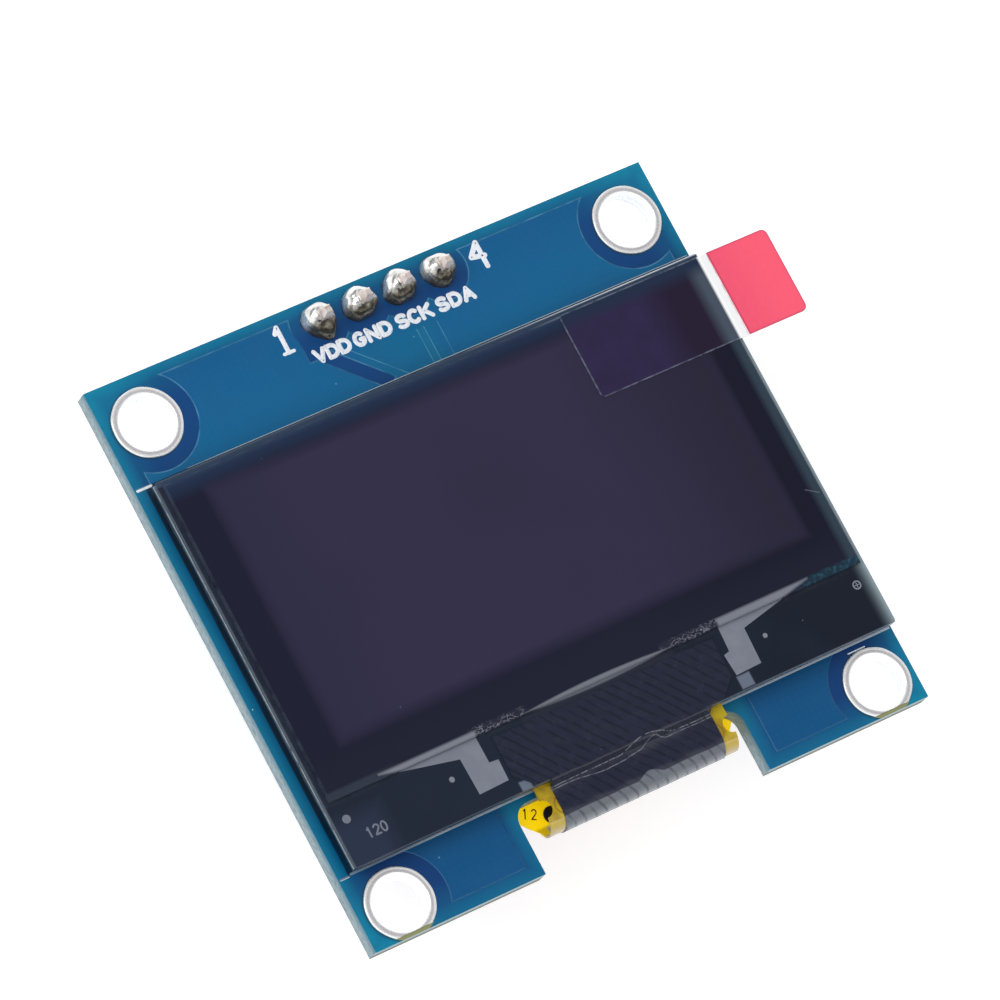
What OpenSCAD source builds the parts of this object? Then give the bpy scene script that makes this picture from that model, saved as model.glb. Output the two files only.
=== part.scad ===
// Small graphic display module: a glass display panel on a four-pin carrier board.
//
// Z = 0 is the back face of the board, where stand-offs seat. The display faces +Z and the
// header pins point to -Z. X and Y are measured from the middle of the four mounting holes.

/* [Mounting holes] */
// Spacing of the hole centres across the board
hole_dx = 30.6; // [29:0.1:32]
// Spacing of the hole centres up the board
hole_dy = 28.9; // [28.5:0.1:31]
// Bore of each plated hole
hole_d = 3.2; // [2.2:0.1:3.4]
// Outer diameter of the tinned land round a hole
land_d = 4; // [3.8:0.1:4.6]
// Thickness of the tin on the board and in the bore
plating_t = 0.05; // [0.03:0.01:0.08]
// Copper is kept this far from the board's edge
land_setback = 0.22; // [0.1:0.01:0.3]

/* [Board] */
// Board beyond the left-hand hole centres
hole_left = 2.5; // [2.2:0.1:4]
// Board beyond the right-hand hole centres
hole_right = 2.3; // [2.1:0.1:4]
// Board beyond the upper hole centres
hole_top = 2.75; // [2.5:0.05:4]
// Board beyond the lower hole centres
hole_bottom = 1.85; // [1.8:0.05:4]
// Thickness of the board
board_t = 1.2; // [0.8:0.1:1.6]
// Radius of the notch's two inner corners
notch_r = 1; // [0.5:0.1:1.6]

/* [Pin header] */
// Number of pins
pin_count = 4; // [4:1:6]
// Pin spacing
pin_pitch = 2.54; // [2:0.01:2.54]
// Side of a square pin
pin_w = 0.64; // [0.5:0.02:0.64]
// Pin row to the top edge of the board
header_in = 1.3; // [1.25:0.05:1.6]
// Pin tip above the front of the board
pin_front = 1.9; // [1.6:0.1:2.4]
// Pin length clear of the housing
pin_back = 6; // [3:0.5:9]
// Length of the taper at a pin's end
pin_taper = 0.35; // [0.1:0.05:0.5]
// Height of the plastic housing
housing_h = 2.54; // [1.5:0.02:2.54]
// Depth of the plastic housing
housing_w = 2.5; // [2:0.1:2.5]
// Chamfer between neighbouring positions of the housing
housing_chamfer = 0.5; // [0.2:0.05:0.6]
// Drill for a pin
drill_d = 1; // [0.94:0.02:1.1]
// Base diameter of a solder joint
joint_d = 1.95; // [1.6:0.05:1.95]
// Height of a solder joint's dome
dome_h = 0.95; // [0.6:0.05:0.95]
// Width of the solder where it leaves the dome
collar_d = 1.4; // [1.1:0.05:1.5]
// Height to which solder climbs up a pin
joint_h = 1.45; // [1.1:0.05:1.5]

/* [Display panel] */
// Width of the front glass
glass_w = 34.5; // [33.5:0.1:35]
// Height of the front glass
glass_h = 23; // [22:0.1:23.5]
// Thickness of the front glass
glass_t = 0.6; // [0.4:0.05:0.7]
// Thickness of the cap glass behind it
cap_t = 0.6; // [0.4:0.05:0.7]
// Height of the bare ledge that carries the driver and the flex
ledge_h = 3.4; // [3:0.1:4]
// Cap glass inside the edge of the front glass
cap_inset = 0.2; // [0.1:0.05:0.5]
// Panel centre to the right of the hole pattern's middle
panel_x = 0.1; // [-0.3:0.1:0.3]
// Top of the glass below the upper row of holes
panel_drop = 3.5; // [3:0.1:3.7]
// Thickness of the adhesive between board and panel
adhesive_t = 0.15; // [0.1:0.05:0.4]
// Adhesive inside the edge of the cap glass
adhesive_inset = 0.25; // [0.1:0.05:1]
// Width of the seal round the cap glass
seal_w = 1.2; // [0.8:0.1:1.5]
// Thickness of the seal
seal_t = 0.05; // [0.04:0.01:0.1]
// Depth of the recess etched in the cap glass
recess_t = 0.25; // [0.2:0.05:0.3]
// Thickness of the drying sheet in the recess
desiccant_t = 0.12; // [0.08:0.01:0.15]
// Drying sheet inside the edge of the recess
desiccant_inset = 1.5; // [0.5:0.1:3]
// Thickness of the light-emitting stack on the front glass
emitter_t = 0.04; // [0.02:0.01:0.06]
// Emitting stack inside the inner edge of the seal
emitter_inset = 0.4; // [0.1:0.1:1]
// Thickness of the polariser
polarizer_t = 0.2; // [0.1:0.05:0.3]
// Polariser inside the edge of the front glass
polarizer_inset = 0.3; // [0.1:0.05:0.6]
// Thickness of the protective film
film_t = 0.05; // [0.04:0.01:0.1]
// Protective film inside the edge of the polariser
film_inset = 0.05; // [0.02:0.01:0.2]

/* [Pull tab] */
// Thickness of the clear strip and of the grip
tab_t = 0.06; // [0.04:0.01:0.1]
// Width of the strip
tab_w = 5.1; // [3:0.1:8]
// Strip stuck to the panel, measured from the panel's right edge
tab_stuck = 9.3; // [4:0.1:12]
// Clear strip beyond the panel before the grip begins
tab_gap = 0.35; // [0.2:0.05:2]
// Length of the coloured grip
grip_l = 3.85; // [2:0.05:8]
// Corner radius of strip and grip
tab_r = 0.35; // [0.2:0.05:1.4]
// Top of the strip below the top of the glass
tab_drop = 0.3; // [0:0.1:6]

/* [Driver and flex] */
// Length of the driver die
driver_l = 8; // [5:0.5:12]
// Width of the driver die
driver_w = 1.1; // [0.8:0.1:1.3]
// Thickness of the driver die
driver_t = 0.3; // [0.2:0.05:0.4]
// Driver die above the end of the flex
driver_gap = 0.35; // [0.2:0.05:0.5]
// Thickness of the flex
flex_t = 0.1; // [0.06:0.01:0.15]
// Width of the flex's neck
neck_w = 12; // [10:0.1:14]
// Flex bonded under the ledge
bond_h = 1; // [0.7:0.1:1.1]
// Straight run of flex from the glass to the bend
bend_run = 1.5; // [1.3:0.05:2]
// Board edge in the notch to the middle of the bend
bend_gap = 1.15; // [0.8:0.05:1.3]
// Room beside the flex in the notch
notch_gap = 1.2; // [0.6:0.1:2]
// Diameter of the locating bites in the neck's edges
bite_d = 1; // [0.6:0.1:1.2]
// Bites above the middle of the bend
bite_rise = 0.3; // [0.1:0.05:0.5]
// Locating hole in the folded-back layer, in from the neck's edge
eye_in = 1.15; // [0.8:0.05:1.5]
// Diameter of that locating hole
eye_d = 1; // [0.8:0.1:1.3]
// Locating holes above the middle of the bend
eye_rise = 0.15; // [0.1:0.05:0.5]
// Spacing of the flex's soldered contacts
contact_pitch = 0.65; // [0.5:0.05:0.7]
// Number of contacts
contact_count = 30; // [20:1:30]
// Length of a contact
contact_l = 1.3; // [0.8:0.1:1.6]
// Width of a contact
contact_w = 0.36; // [0.25:0.01:0.4]
// Height of the solder bead on a contact
bead_h = 0.12; // [0.05:0.01:0.15]
// Flex beyond the outer contacts
tail_margin = 0.75; // [0.5:0.05:1.5]
// Flex past the middle of the bend on the back of the board
tail_l = 8.6; // [7.5:0.1:10]
// Height over which the folded-back layer widens
shoulder_h = 5; // [4:0.1:5.5]

/* [Shielding tape] */
// Thickness of the tape
tape_t = 0.06; // [0.04:0.01:0.1]
// Width of the tape on the ledge
patch_w = 14; // [12.5:0.1:16]
// Bare glass between the polariser and the tape
patch_gap = 0.35; // [0.1:0.05:0.6]
// Chamfer where the tape on the ledge narrows
patch_chamfer = 1; // [0.5:0.1:1.4]
// Width of the tape's tail over the flex
tape_tail_w = 10.2; // [8:0.1:11.4]
// Run over which the tape comes down from the glass to the flex
tape_ramp = 0.7; // [0.4:0.05:1]
// Tape past the middle of the bend on the back
tape_wrap = 1; // [0.5:0.1:1.2]

/* [Parts on the back] */
// Number of chip capacitors
capacitor_count = 7; // [5:1:7]
// Number of chip resistors
resistor_count = 6; // [4:1:6]
// Length of a chip part
chip_l = 1.6; // [1:0.1:1.6]
// Width of a chip part
chip_w = 0.8; // [0.5:0.05:0.85]
// Height of a capacitor
capacitor_h = 0.8; // [0.4:0.05:0.9]
// Height of a resistor
resistor_h = 0.45; // [0.3:0.05:0.5]
// Length of a chip's metal end
chip_end = 0.3; // [0.2:0.02:0.35]
// Spacing of the chips in a row
chip_pitch = 2.6; // [2:0.1:2.8]
// Rows of chips apart
chip_rows = 3.6; // [3.4:0.1:4]
// First row of chips above the end of the flex
chip_start = 2; // [1.6:0.1:2.5]
// Foot of the solder fillet at a chip's end
fillet_l = 0.3; // [0.2:0.02:0.35]
// Length of the regulator's body
reg_l = 2.9; // [2.8:0.1:3.1]
// Width of the regulator's body
reg_w = 1.3; // [1.2:0.1:1.6]
// Height of the regulator's body
reg_h = 1; // [0.9:0.05:1.2]
// Body clear of the board
reg_standoff = 0.1; // [0.05:0.01:0.15]
// Draft of the regulator's sides, per side
reg_draft = 0.12; // [0.05:0.01:0.2]
// Reach of a regulator lead from the body
lead_reach = 0.55; // [0.4:0.05:0.7]
// Length of a lead's flat foot
lead_foot = 0.37; // [0.3:0.01:0.4]
// Length of a lead inside the body
lead_root = 0.3; // [0.15:0.05:0.5]
// Width of a regulator lead
lead_w = 0.4; // [0.3:0.05:0.5]
// Thickness of a regulator lead
lead_t = 0.13; // [0.1:0.01:0.18]
// Spacing of the two leads on one side
lead_pitch = 1.9; // [1.7:0.1:2]
// Regulator's centre to the left of the hole pattern's middle
reg_left = 7.5; // [6:0.5:9]
// Regulator's centre above the upper row of chips
reg_rise = 4; // [3.6:0.1:4.2]

/* [Hidden] */
$fn = 64;
// Overlap that carries a cutter past the face that it cuts
over = 1;
hole_count = 4;
board_w = hole_left + hole_dx + hole_right;
board_h = hole_top + hole_dy + hole_bottom;
board_left = -hole_dx / 2 - hole_left;
board_right = board_left + board_w;
board_top = hole_dy / 2 + hole_top;
board_bottom = board_top - board_h;

// Heights of the stack on the front of the board
cap_z = board_t + adhesive_t;
seal_z = cap_z + cap_t;
glass_z = seal_z + seal_t;
ledge_z = glass_z + glass_t;
film_z = ledge_z + polarizer_t;
tab_z = film_z + film_t;
grip_z = tab_z + tab_t;

// The panel's outline
glass_left = panel_x - glass_w / 2;
glass_right = panel_x + glass_w / 2;
glass_top = hole_dy / 2 - panel_drop;
glass_bottom = glass_top - glass_h;
ledge_y = glass_bottom + ledge_h;

// The flex runs down the front, round the bend and back up behind the board
bend_y = glass_bottom - bend_run;
bend_z = (glass_z - flex_t) / 2;
bend_r = (glass_z + flex_t) / 2;
notch_top = bend_y + bend_gap;
notch_w = neck_w + 2 * notch_gap;
tail_y = bend_y + tail_l;
patch_y = ledge_y + polarizer_inset - patch_gap;
tail_w = (contact_count - 1) * contact_pitch + 2 * tail_margin;
eye_x = neck_w / 2 - eye_in;

header_y = board_top - header_in;
pin_l = pin_back + housing_h + board_t + pin_front;
chip_y1 = tail_y + chip_start;
chip_y2 = chip_y1 + chip_rows;
reg_y = chip_y2 + reg_rise;
// The metal ends of a chip stand proud of its ceramic by this much
chip_lip = 0.03;
// Solder left at the thin ends of a fillet, and round a pin's corners
solder_edge = 0.02;
// The folded-back layer stays as narrow as the neck up to here
shoulder_y = bend_y - bend_r / 2;

// Holes are numbered round the board from its upper left corner
function hole_at(i) = [
    (i == 1 || i == 4 ? -1 : 1) * hole_dx / 2,
    (i <= 2 ? 1 : -1) * hole_dy / 2
];
function pin_x(i) = (i - (pin_count + 1) / 2) * pin_pitch;
function row_x(i, count) = (i - (count + 1) / 2) * chip_pitch;
// Radius of the circle whose slice has this half width and this height
function arc_radius(half, height) = (half * half + height * height) / (2 * height);

// A flat shape in Y and Z, drawn out along X about the panel's middle
module across(width) {
    translate([panel_x, 0, 0]) rotate([90, 0, 90])
        linear_extrude(width, center = true) children();
}

// A rectangular sheet inset from a stated outline
module sheet(left, bottom, right, top, inset, z, thickness) {
    translate([left + inset, bottom + inset, z])
        cube([right - left - 2 * inset, top - bottom - 2 * inset, thickness]);
}

// The shape that the cap glass, its seal and its adhesive share
module cap_sheet(inset, z, thickness) {
    sheet(glass_left, ledge_y, glass_right, glass_top, cap_inset + inset, z, thickness);
}

module on_back() {
    mirror([0, 0, 1]) children();
}

module notch_outline() {
    inner = notch_w / 2 - notch_r;
    translate([-notch_w / 2, board_bottom - over])
        square([notch_w, notch_top - notch_r - board_bottom + over]);
    translate([-inner, board_bottom])
        square([2 * inner, notch_top - board_bottom]);
    for (side = [-1, 1])
        translate([side * inner, notch_top - notch_r]) circle(notch_r);
}

module pcb() {
    color("steelblue")
    difference() {
        linear_extrude(board_t)
            difference() {
                translate([board_left, board_bottom]) square([board_w, board_h]);
                notch_outline();
            }
        for (i = [1:hole_count])
            translate([hole_at(i).x, hole_at(i).y, -over])
                cylinder(d = hole_d + 2 * plating_t, h = board_t + 2 * over);
        for (i = [1:pin_count])
            translate([pin_x(i), header_y, -over]) cylinder(d = drill_d, h = board_t + 2 * over);
    }
}

// A land on each face and the tinned wall between them; near an edge the lands stop short
module mount_land(i) {
    full_h = board_t + 2 * plating_t;
    color("silver")
    difference() {
        union() {
            translate([hole_at(i).x, hole_at(i).y, -plating_t])
                cylinder(d = hole_d + 2 * plating_t, h = full_h);
            intersection() {
                translate([hole_at(i).x, hole_at(i).y, 0])
                    for (z = [-plating_t, board_t])
                        translate([0, 0, z]) cylinder(d = land_d, h = plating_t);
                sheet(board_left, board_bottom, board_right, board_top,
                    land_setback, -plating_t, full_h);
            }
        }
        translate([hole_at(i).x, hole_at(i).y, -over])
            cylinder(d = hole_d, h = full_h + 2 * over);
    }
}

// One position of the housing: a square with its corners cut off
module housing_cell() {
    x = pin_pitch / 2;
    y = housing_w / 2;
    c = housing_chamfer;
    polygon([[-x, -y + c], [-x + c, -y], [x - c, -y], [x, -y + c],
        [x, y - c], [x - c, y], [-x + c, y], [-x, y - c]]);
}

module header_housing() {
    color("dimgray")
    translate([0, header_y, -housing_h])
        linear_extrude(housing_h)
            difference() {
                for (i = [1:pin_count])
                    translate([pin_x(i), 0]) housing_cell();
                for (i = [1:pin_count])
                    translate([pin_x(i), 0]) square(pin_w, center = true);
            }
}

// A square pin's outline from the side, with both ends tapered
module pin_side() {
    half = pin_w / 2;
    tip = half / 2;
    polygon([[-tip, 0], [tip, 0], [half, pin_taper], [half, pin_l - pin_taper],
        [tip, pin_l], [-tip, pin_l], [-half, pin_l - pin_taper], [-half, pin_taper]]);
}

module pin_solid() {
    translate([0, 0, -housing_h - pin_back])
        intersection() {
            rotate([90, 0, 0]) linear_extrude(pin_w, center = true) pin_side();
            rotate([90, 0, 90]) linear_extrude(pin_w, center = true) pin_side();
        }
}

module header_pin(i) {
    color("lightgray") translate([pin_x(i), header_y, 0]) pin_solid();
}

// Half of a dome's section: a slice of the circle that has this base and this height
module dome_section(base_r, height) {
    r = arc_radius(base_r, height);
    intersection() {
        translate([0, height - r]) circle(r);
        square([base_r, height]);
    }
}

// Solder fills the drilled hole, domes over its pad and climbs the pin
module solder_joint(i) {
    pin_corner = pin_w / sqrt(2);
    color("gainsboro")
    translate([pin_x(i), header_y, 0])
        difference() {
            union() {
                cylinder(d = drill_d, h = board_t);
                translate([0, 0, board_t]) {
                    rotate_extrude() dome_section(joint_d / 2, dome_h);
                    translate([0, 0, dome_h / 2])
                        cylinder(r1 = collar_d / 2, r2 = pin_corner + solder_edge,
                            h = joint_h - dome_h / 2);
                }
            }
            pin_solid();
        }
}

module panel_adhesive() {
    color("black") cap_sheet(adhesive_inset, board_t, adhesive_t);
}

module cap_glass() {
    color("lightslategray")
    difference() {
        cap_sheet(0, cap_z, cap_t);
        cap_sheet(seal_w, seal_z - recess_t, recess_t + over);
    }
}

module desiccant_sheet() {
    color("white") cap_sheet(seal_w + desiccant_inset, seal_z - recess_t, desiccant_t);
}

module edge_seal() {
    color("khaki")
    difference() {
        cap_sheet(0, seal_z, seal_t);
        cap_sheet(seal_w, seal_z - over, seal_t + 2 * over);
    }
}

module emitter_layer() {
    color("indigo") cap_sheet(seal_w + emitter_inset, glass_z - emitter_t, emitter_t);
}

module front_glass() {
    color("midnightblue")
    sheet(glass_left, glass_bottom, glass_right, glass_top, 0, glass_z, glass_t);
}

module polarizer() {
    color("darkslateblue")
    sheet(glass_left, ledge_y, glass_right, glass_top, polarizer_inset, ledge_z, polarizer_t);
}

module protective_film() {
    color("lavender")
    sheet(glass_left, ledge_y, glass_right, glass_top, polarizer_inset + film_inset,
        film_z, film_t);
}

// A strip from x1 to x2 with rounded ends where asked
module tab_outline(x1, x2, round_left) {
    top = glass_top - tab_drop;
    difference() {
        translate([x1, top - tab_w]) square([x2 - x1, tab_w]);
        for (y = [top - tab_w, top]) {
            inward = y == top ? -1 : 1;
            translate([x2 - tab_r, y + inward * tab_r]) tab_corner(1, -inward);
            if (round_left)
                translate([x1 + tab_r, y + inward * tab_r]) tab_corner(-1, -inward);
        }
    }
}

// What is cut away to round one corner: a square less a quarter circle
module tab_corner(x_side, y_side) {
    difference() {
        translate([x_side > 0 ? 0 : -tab_r - over, y_side > 0 ? 0 : -tab_r - over])
            square(tab_r + over);
        circle(tab_r);
    }
}

module pull_tab() {
    color("white")
    translate([0, 0, tab_z])
        linear_extrude(tab_t)
            tab_outline(glass_right - tab_stuck, glass_right + tab_gap + grip_l, true);
}

module pull_tab_grip() {
    color("crimson")
    translate([0, 0, grip_z])
        linear_extrude(tab_t)
            tab_outline(glass_right + tab_gap, glass_right + tab_gap + grip_l, false);
}

module driver_die() {
    color("gray")
    translate([panel_x - driver_l / 2, glass_bottom + bond_h + driver_gap, glass_z - driver_t])
        cube([driver_l, driver_w, driver_t]);
}

// Section of a layer wrapped round the bend: inner and outer radius, and how far each run goes
module wrap_section(inner, outer, front_end, back_end) {
    thick = outer - inner;
    translate([bend_y, bend_z + inner]) square([front_end - bend_y, thick]);
    translate([bend_y, bend_z - outer]) square([back_end - bend_y, thick]);
    difference() {
        translate([bend_y, bend_z]) circle(outer);
        translate([bend_y, bend_z]) circle(inner);
        translate([bend_y, bend_z - outer - over]) square(2 * outer + 2 * over);
    }
}

// Everything above or below the middle of the bend, with the outline given as a child
module upper_half() {
    translate([panel_x, 0, bend_z]) linear_extrude(glass_z + over) children();
}

module lower_half() {
    translate([panel_x, 0, -bend_r - over]) linear_extrude(bend_r + over + bend_z) children();
}

module neck_outline() {
    difference() {
        translate([-neck_w / 2, bend_y - bend_r - over])
            square([neck_w, glass_bottom + bond_h + over - bend_y + bend_r]);
        for (side = [-1, 1])
            translate([side * neck_w / 2, bend_y + bite_rise]) circle(d = bite_d);
    }
}

// The folded-back layer widens from the neck to its row of contacts
module tail_outline() {
    neck = neck_w / 2;
    tail = tail_w / 2;
    tip = bend_y - bend_r - over;
    wide_y = shoulder_y + shoulder_h;
    difference() {
        polygon([[-neck, tip], [neck, tip], [neck, shoulder_y], [tail, wide_y], [tail, tail_y],
            [-tail, tail_y], [-tail, wide_y], [-neck, shoulder_y]]);
        for (side = [-1, 1])
            translate([side * eye_x, bend_y + eye_rise]) circle(d = eye_d);
    }
}

module flex_cable() {
    color("goldenrod")
    intersection() {
        across(max(tail_w, neck_w) + over)
            wrap_section(bend_r - flex_t, bend_r, glass_bottom + bond_h, tail_y);
        union() {
            upper_half() neck_outline();
            lower_half() tail_outline();
        }
    }
}

// Low beads of solder over the flex's contacts
module flex_solder() {
    bead_r = arc_radius(contact_w / 2, bead_h);
    color("gainsboro")
    for (i = [1:contact_count])
        translate([panel_x + (i - (contact_count + 1) / 2) * contact_pitch, tail_y, -flex_t])
            rotate([90, 0, 0])
                linear_extrude(contact_l)
                    intersection() {
                        translate([0, bead_r - bead_h]) circle(bead_r);
                        translate([-contact_w, -bead_h]) square([2 * contact_w, bead_h]);
                    }
}

// The tape lies on the ledge, ramps down past the glass and follows the flex round the bend
module tape_section() {
    ramp_y = glass_bottom - tape_ramp;
    polygon([[patch_y, ledge_z], [patch_y, ledge_z + tape_t], [glass_bottom, ledge_z + tape_t],
        [ramp_y, glass_z + tape_t], [ramp_y, glass_z], [glass_bottom, ledge_z]]);
    wrap_section(bend_r, bend_r + tape_t, ramp_y, bend_y + tape_wrap);
}

module patch_outline() {
    half = patch_w / 2;
    tail = tape_tail_w / 2;
    low_y = glass_bottom + patch_chamfer / 2;
    polygon([[-half, patch_y], [half, patch_y], [half, low_y], [half - patch_chamfer, glass_bottom],
        [tail, glass_bottom], [tail, bend_y - bend_r - over], [-tail, bend_y - bend_r - over],
        [-tail, glass_bottom], [-half + patch_chamfer, glass_bottom], [-half, low_y]]);
}

module shield_tape() {
    color("darkslategray")
    intersection() {
        across(patch_w) tape_section();
        translate([panel_x, 0, -bend_r - over])
            linear_extrude(2 * bend_r + ledge_z + 2 * over) patch_outline();
    }
}

// A chip part stands on the board with its length along Y; its metal ends are a little larger
module chip(x, y, height) {
    translate([x, y, 0]) {
        translate([-chip_w / 2 + chip_lip, -chip_l / 2 + chip_lip, chip_lip])
            cube([chip_w - 2 * chip_lip, chip_l - 2 * chip_lip, height - 2 * chip_lip]);
        for (side = [0, 1])
            translate([-chip_w / 2, -chip_l / 2 + side * (chip_l - chip_end), 0])
                cube([chip_w, chip_end, height]);
    }
}

module capacitor(i) {
    color("tan") on_back() chip(row_x(i, capacitor_count), chip_y1, capacitor_h);
}

module resistor(i) {
    color("darkslategray") on_back() chip(row_x(i, resistor_count), chip_y2, resistor_h);
}

// Hollow fillets of solder at both ends of a chip
module chip_fillets(x, y) {
    translate([x, y, 0])
        for (side = [-1, 1])
            translate([-side * chip_w / 2, side * chip_l / 2, 0])
                rotate([90, 0, side * 90])
                    linear_extrude(chip_w)
                        difference() {
                            square(fillet_l);
                            translate([fillet_l, fillet_l]) circle(fillet_l - solder_edge);
                        }
}

module chip_solder() {
    color("gainsboro")
    on_back() {
        for (i = [1:capacitor_count])
            chip_fillets(row_x(i, capacitor_count), chip_y1);
        for (i = [1:resistor_count])
            chip_fillets(row_x(i, resistor_count), chip_y2);
    }
}

// Side view of the regulator's body: drafted above and below the line where the leads leave
module reg_side(width) {
    half = width / 2;
    mid = reg_standoff + reg_h / 2;
    polygon([[-half + reg_draft, reg_standoff], [half - reg_draft, reg_standoff], [half, mid],
        [half - reg_draft, reg_standoff + reg_h], [-half + reg_draft, reg_standoff + reg_h],
        [-half, mid]]);
}

// One gull-wing lead, from inside the body out and down to the board, along +Y
module gull_lead() {
    mid = reg_standoff + reg_h / 2;
    root = reg_w / 2 - lead_root;
    toe = reg_w / 2 + lead_reach;
    knee = toe - lead_foot;
    rotate([90, 0, 90])
        linear_extrude(lead_w, center = true)
            polygon([[root, mid - lead_t / 2], [knee, mid - lead_t / 2], [knee, 0], [toe, 0],
                [toe, lead_t], [knee + lead_t, lead_t], [knee + lead_t, mid + lead_t / 2],
                [root, mid + lead_t / 2]]);
}

module lead_set() {
    for (x = [-lead_pitch / 2, lead_pitch / 2])
        translate([x, 0, 0]) gull_lead();
    rotate([0, 0, 180]) gull_lead();
}

module at_regulator() {
    on_back() translate([-reg_left, reg_y, 0]) children();
}

module regulator_body() {
    color("black")
    at_regulator()
        difference() {
            intersection() {
                rotate([90, 0, 0]) linear_extrude(reg_w + over, center = true) reg_side(reg_l);
                rotate([90, 0, 90]) linear_extrude(reg_l + over, center = true) reg_side(reg_w);
            }
            lead_set();
        }
}

module regulator_leads() {
    color("silver") at_regulator() lead_set();
}

pcb();
header_housing();
panel_adhesive();
cap_glass();
desiccant_sheet();
edge_seal();
emitter_layer();
front_glass();
polarizer();
protective_film();
pull_tab();
pull_tab_grip();
driver_die();
flex_cable();
flex_solder();
shield_tape();
regulator_body();
regulator_leads();
chip_solder();
for (i = [1:hole_count])
    mount_land(i);
for (i = [1:pin_count])
    header_pin(i);
for (i = [1:pin_count])
    solder_joint(i);
for (i = [1:capacitor_count])
    capacitor(i);
for (i = [1:resistor_count])
    resistor(i);
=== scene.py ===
# %% [markdown]
# # A small OLED display module
# A blue circuit board carries a glass display panel on its front. Four header pins are soldered along
# the top edge, a film cable folds round the lower edge from the glass to the board's back, and a red
# tab waits for someone to peel the protective film away.
#
# The solid model gives every piece its shape and place. This lesson dresses it: each finish is built
# from nodes that read the piece's own coordinates in millimetres, and pieces that are too soft or
# too irregular for a solid modeller are worked out with numpy.

# %% The frame
from functools import partialmethod, reduce
from math import atan2, cos, degrees, dist, pi, radians, sin, tau
import bmesh
import bpy
import numpy as np
from mathutils import Matrix, Vector


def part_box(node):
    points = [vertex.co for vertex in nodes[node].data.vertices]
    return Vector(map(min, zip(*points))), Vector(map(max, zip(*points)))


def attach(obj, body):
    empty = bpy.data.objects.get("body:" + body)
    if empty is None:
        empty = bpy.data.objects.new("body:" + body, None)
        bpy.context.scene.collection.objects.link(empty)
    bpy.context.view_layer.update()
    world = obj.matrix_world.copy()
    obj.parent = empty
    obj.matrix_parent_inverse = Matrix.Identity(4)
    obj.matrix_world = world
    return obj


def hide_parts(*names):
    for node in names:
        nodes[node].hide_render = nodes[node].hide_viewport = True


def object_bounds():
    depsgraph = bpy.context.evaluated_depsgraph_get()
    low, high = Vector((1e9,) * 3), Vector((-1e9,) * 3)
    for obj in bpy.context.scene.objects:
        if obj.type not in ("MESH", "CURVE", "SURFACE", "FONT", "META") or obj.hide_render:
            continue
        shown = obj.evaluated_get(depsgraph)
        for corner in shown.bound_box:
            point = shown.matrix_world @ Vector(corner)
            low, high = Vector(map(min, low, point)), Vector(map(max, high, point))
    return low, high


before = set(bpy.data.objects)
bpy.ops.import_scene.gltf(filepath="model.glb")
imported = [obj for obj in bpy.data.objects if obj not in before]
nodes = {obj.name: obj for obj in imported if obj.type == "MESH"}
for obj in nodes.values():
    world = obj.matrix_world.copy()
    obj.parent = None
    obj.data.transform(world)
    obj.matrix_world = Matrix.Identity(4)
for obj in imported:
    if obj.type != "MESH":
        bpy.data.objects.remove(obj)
cad_box = [list(corner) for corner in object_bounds()]
MM = 0.001
print("solid pieces:", len(nodes))

# %% [markdown]
# ## Where things are
# Places are read from the solids, in millimetres, so a piece dressed here can't drift away from the
# one that carries it. The origin is the middle of the four mounting holes, on the board's back face,
# and +Z is the side that shows the display.

# %% Sizes read from the solids
def reach(node):
    """Lowest and highest corner of a solid, in millimetres."""
    low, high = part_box(node)
    return np.array(low) / MM, np.array(high) / MM


board_lo, board_hi = reach("pcb")
glass_lo, glass_hi = reach("front_glass")
polar_lo, polar_hi = reach("polarizer")
tab_lo, tab_hi = reach("pull_tab")
grip_lo, grip_hi = reach("pull_tab_grip")
tape_lo, tape_hi = reach("shield_tape")
top_z = board_hi[2]

lands = [reach(f"mount_land_{count}") for count in range(1, 5)]
land_r = (lands[1][1][0] - lands[1][0][0]) / 2
land_at = [((low[0] + high[0]) / 2, high[1] - land_r) for low, high in lands]
pins = [reach(f"header_pin_{count}") for count in range(1, 5)]
pin_at = [((low[0] + high[0]) / 2, (low[1] + high[1]) / 2) for low, high in pins]
print("holes at", np.round(land_at, 2).tolist(), "pins at", np.round(pin_at, 2).tolist())

# %% [markdown]
# ## Finishes as fields
# Copper areas, traces and rings are drawn as distance fields: numbers that are negative inside a shape
# and grow with the distance from it. A field is a few Math nodes, it is sharp at any zoom, and two
# fields join with a minimum or maximum. The class below lets such nodes be written as arithmetic.

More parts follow.
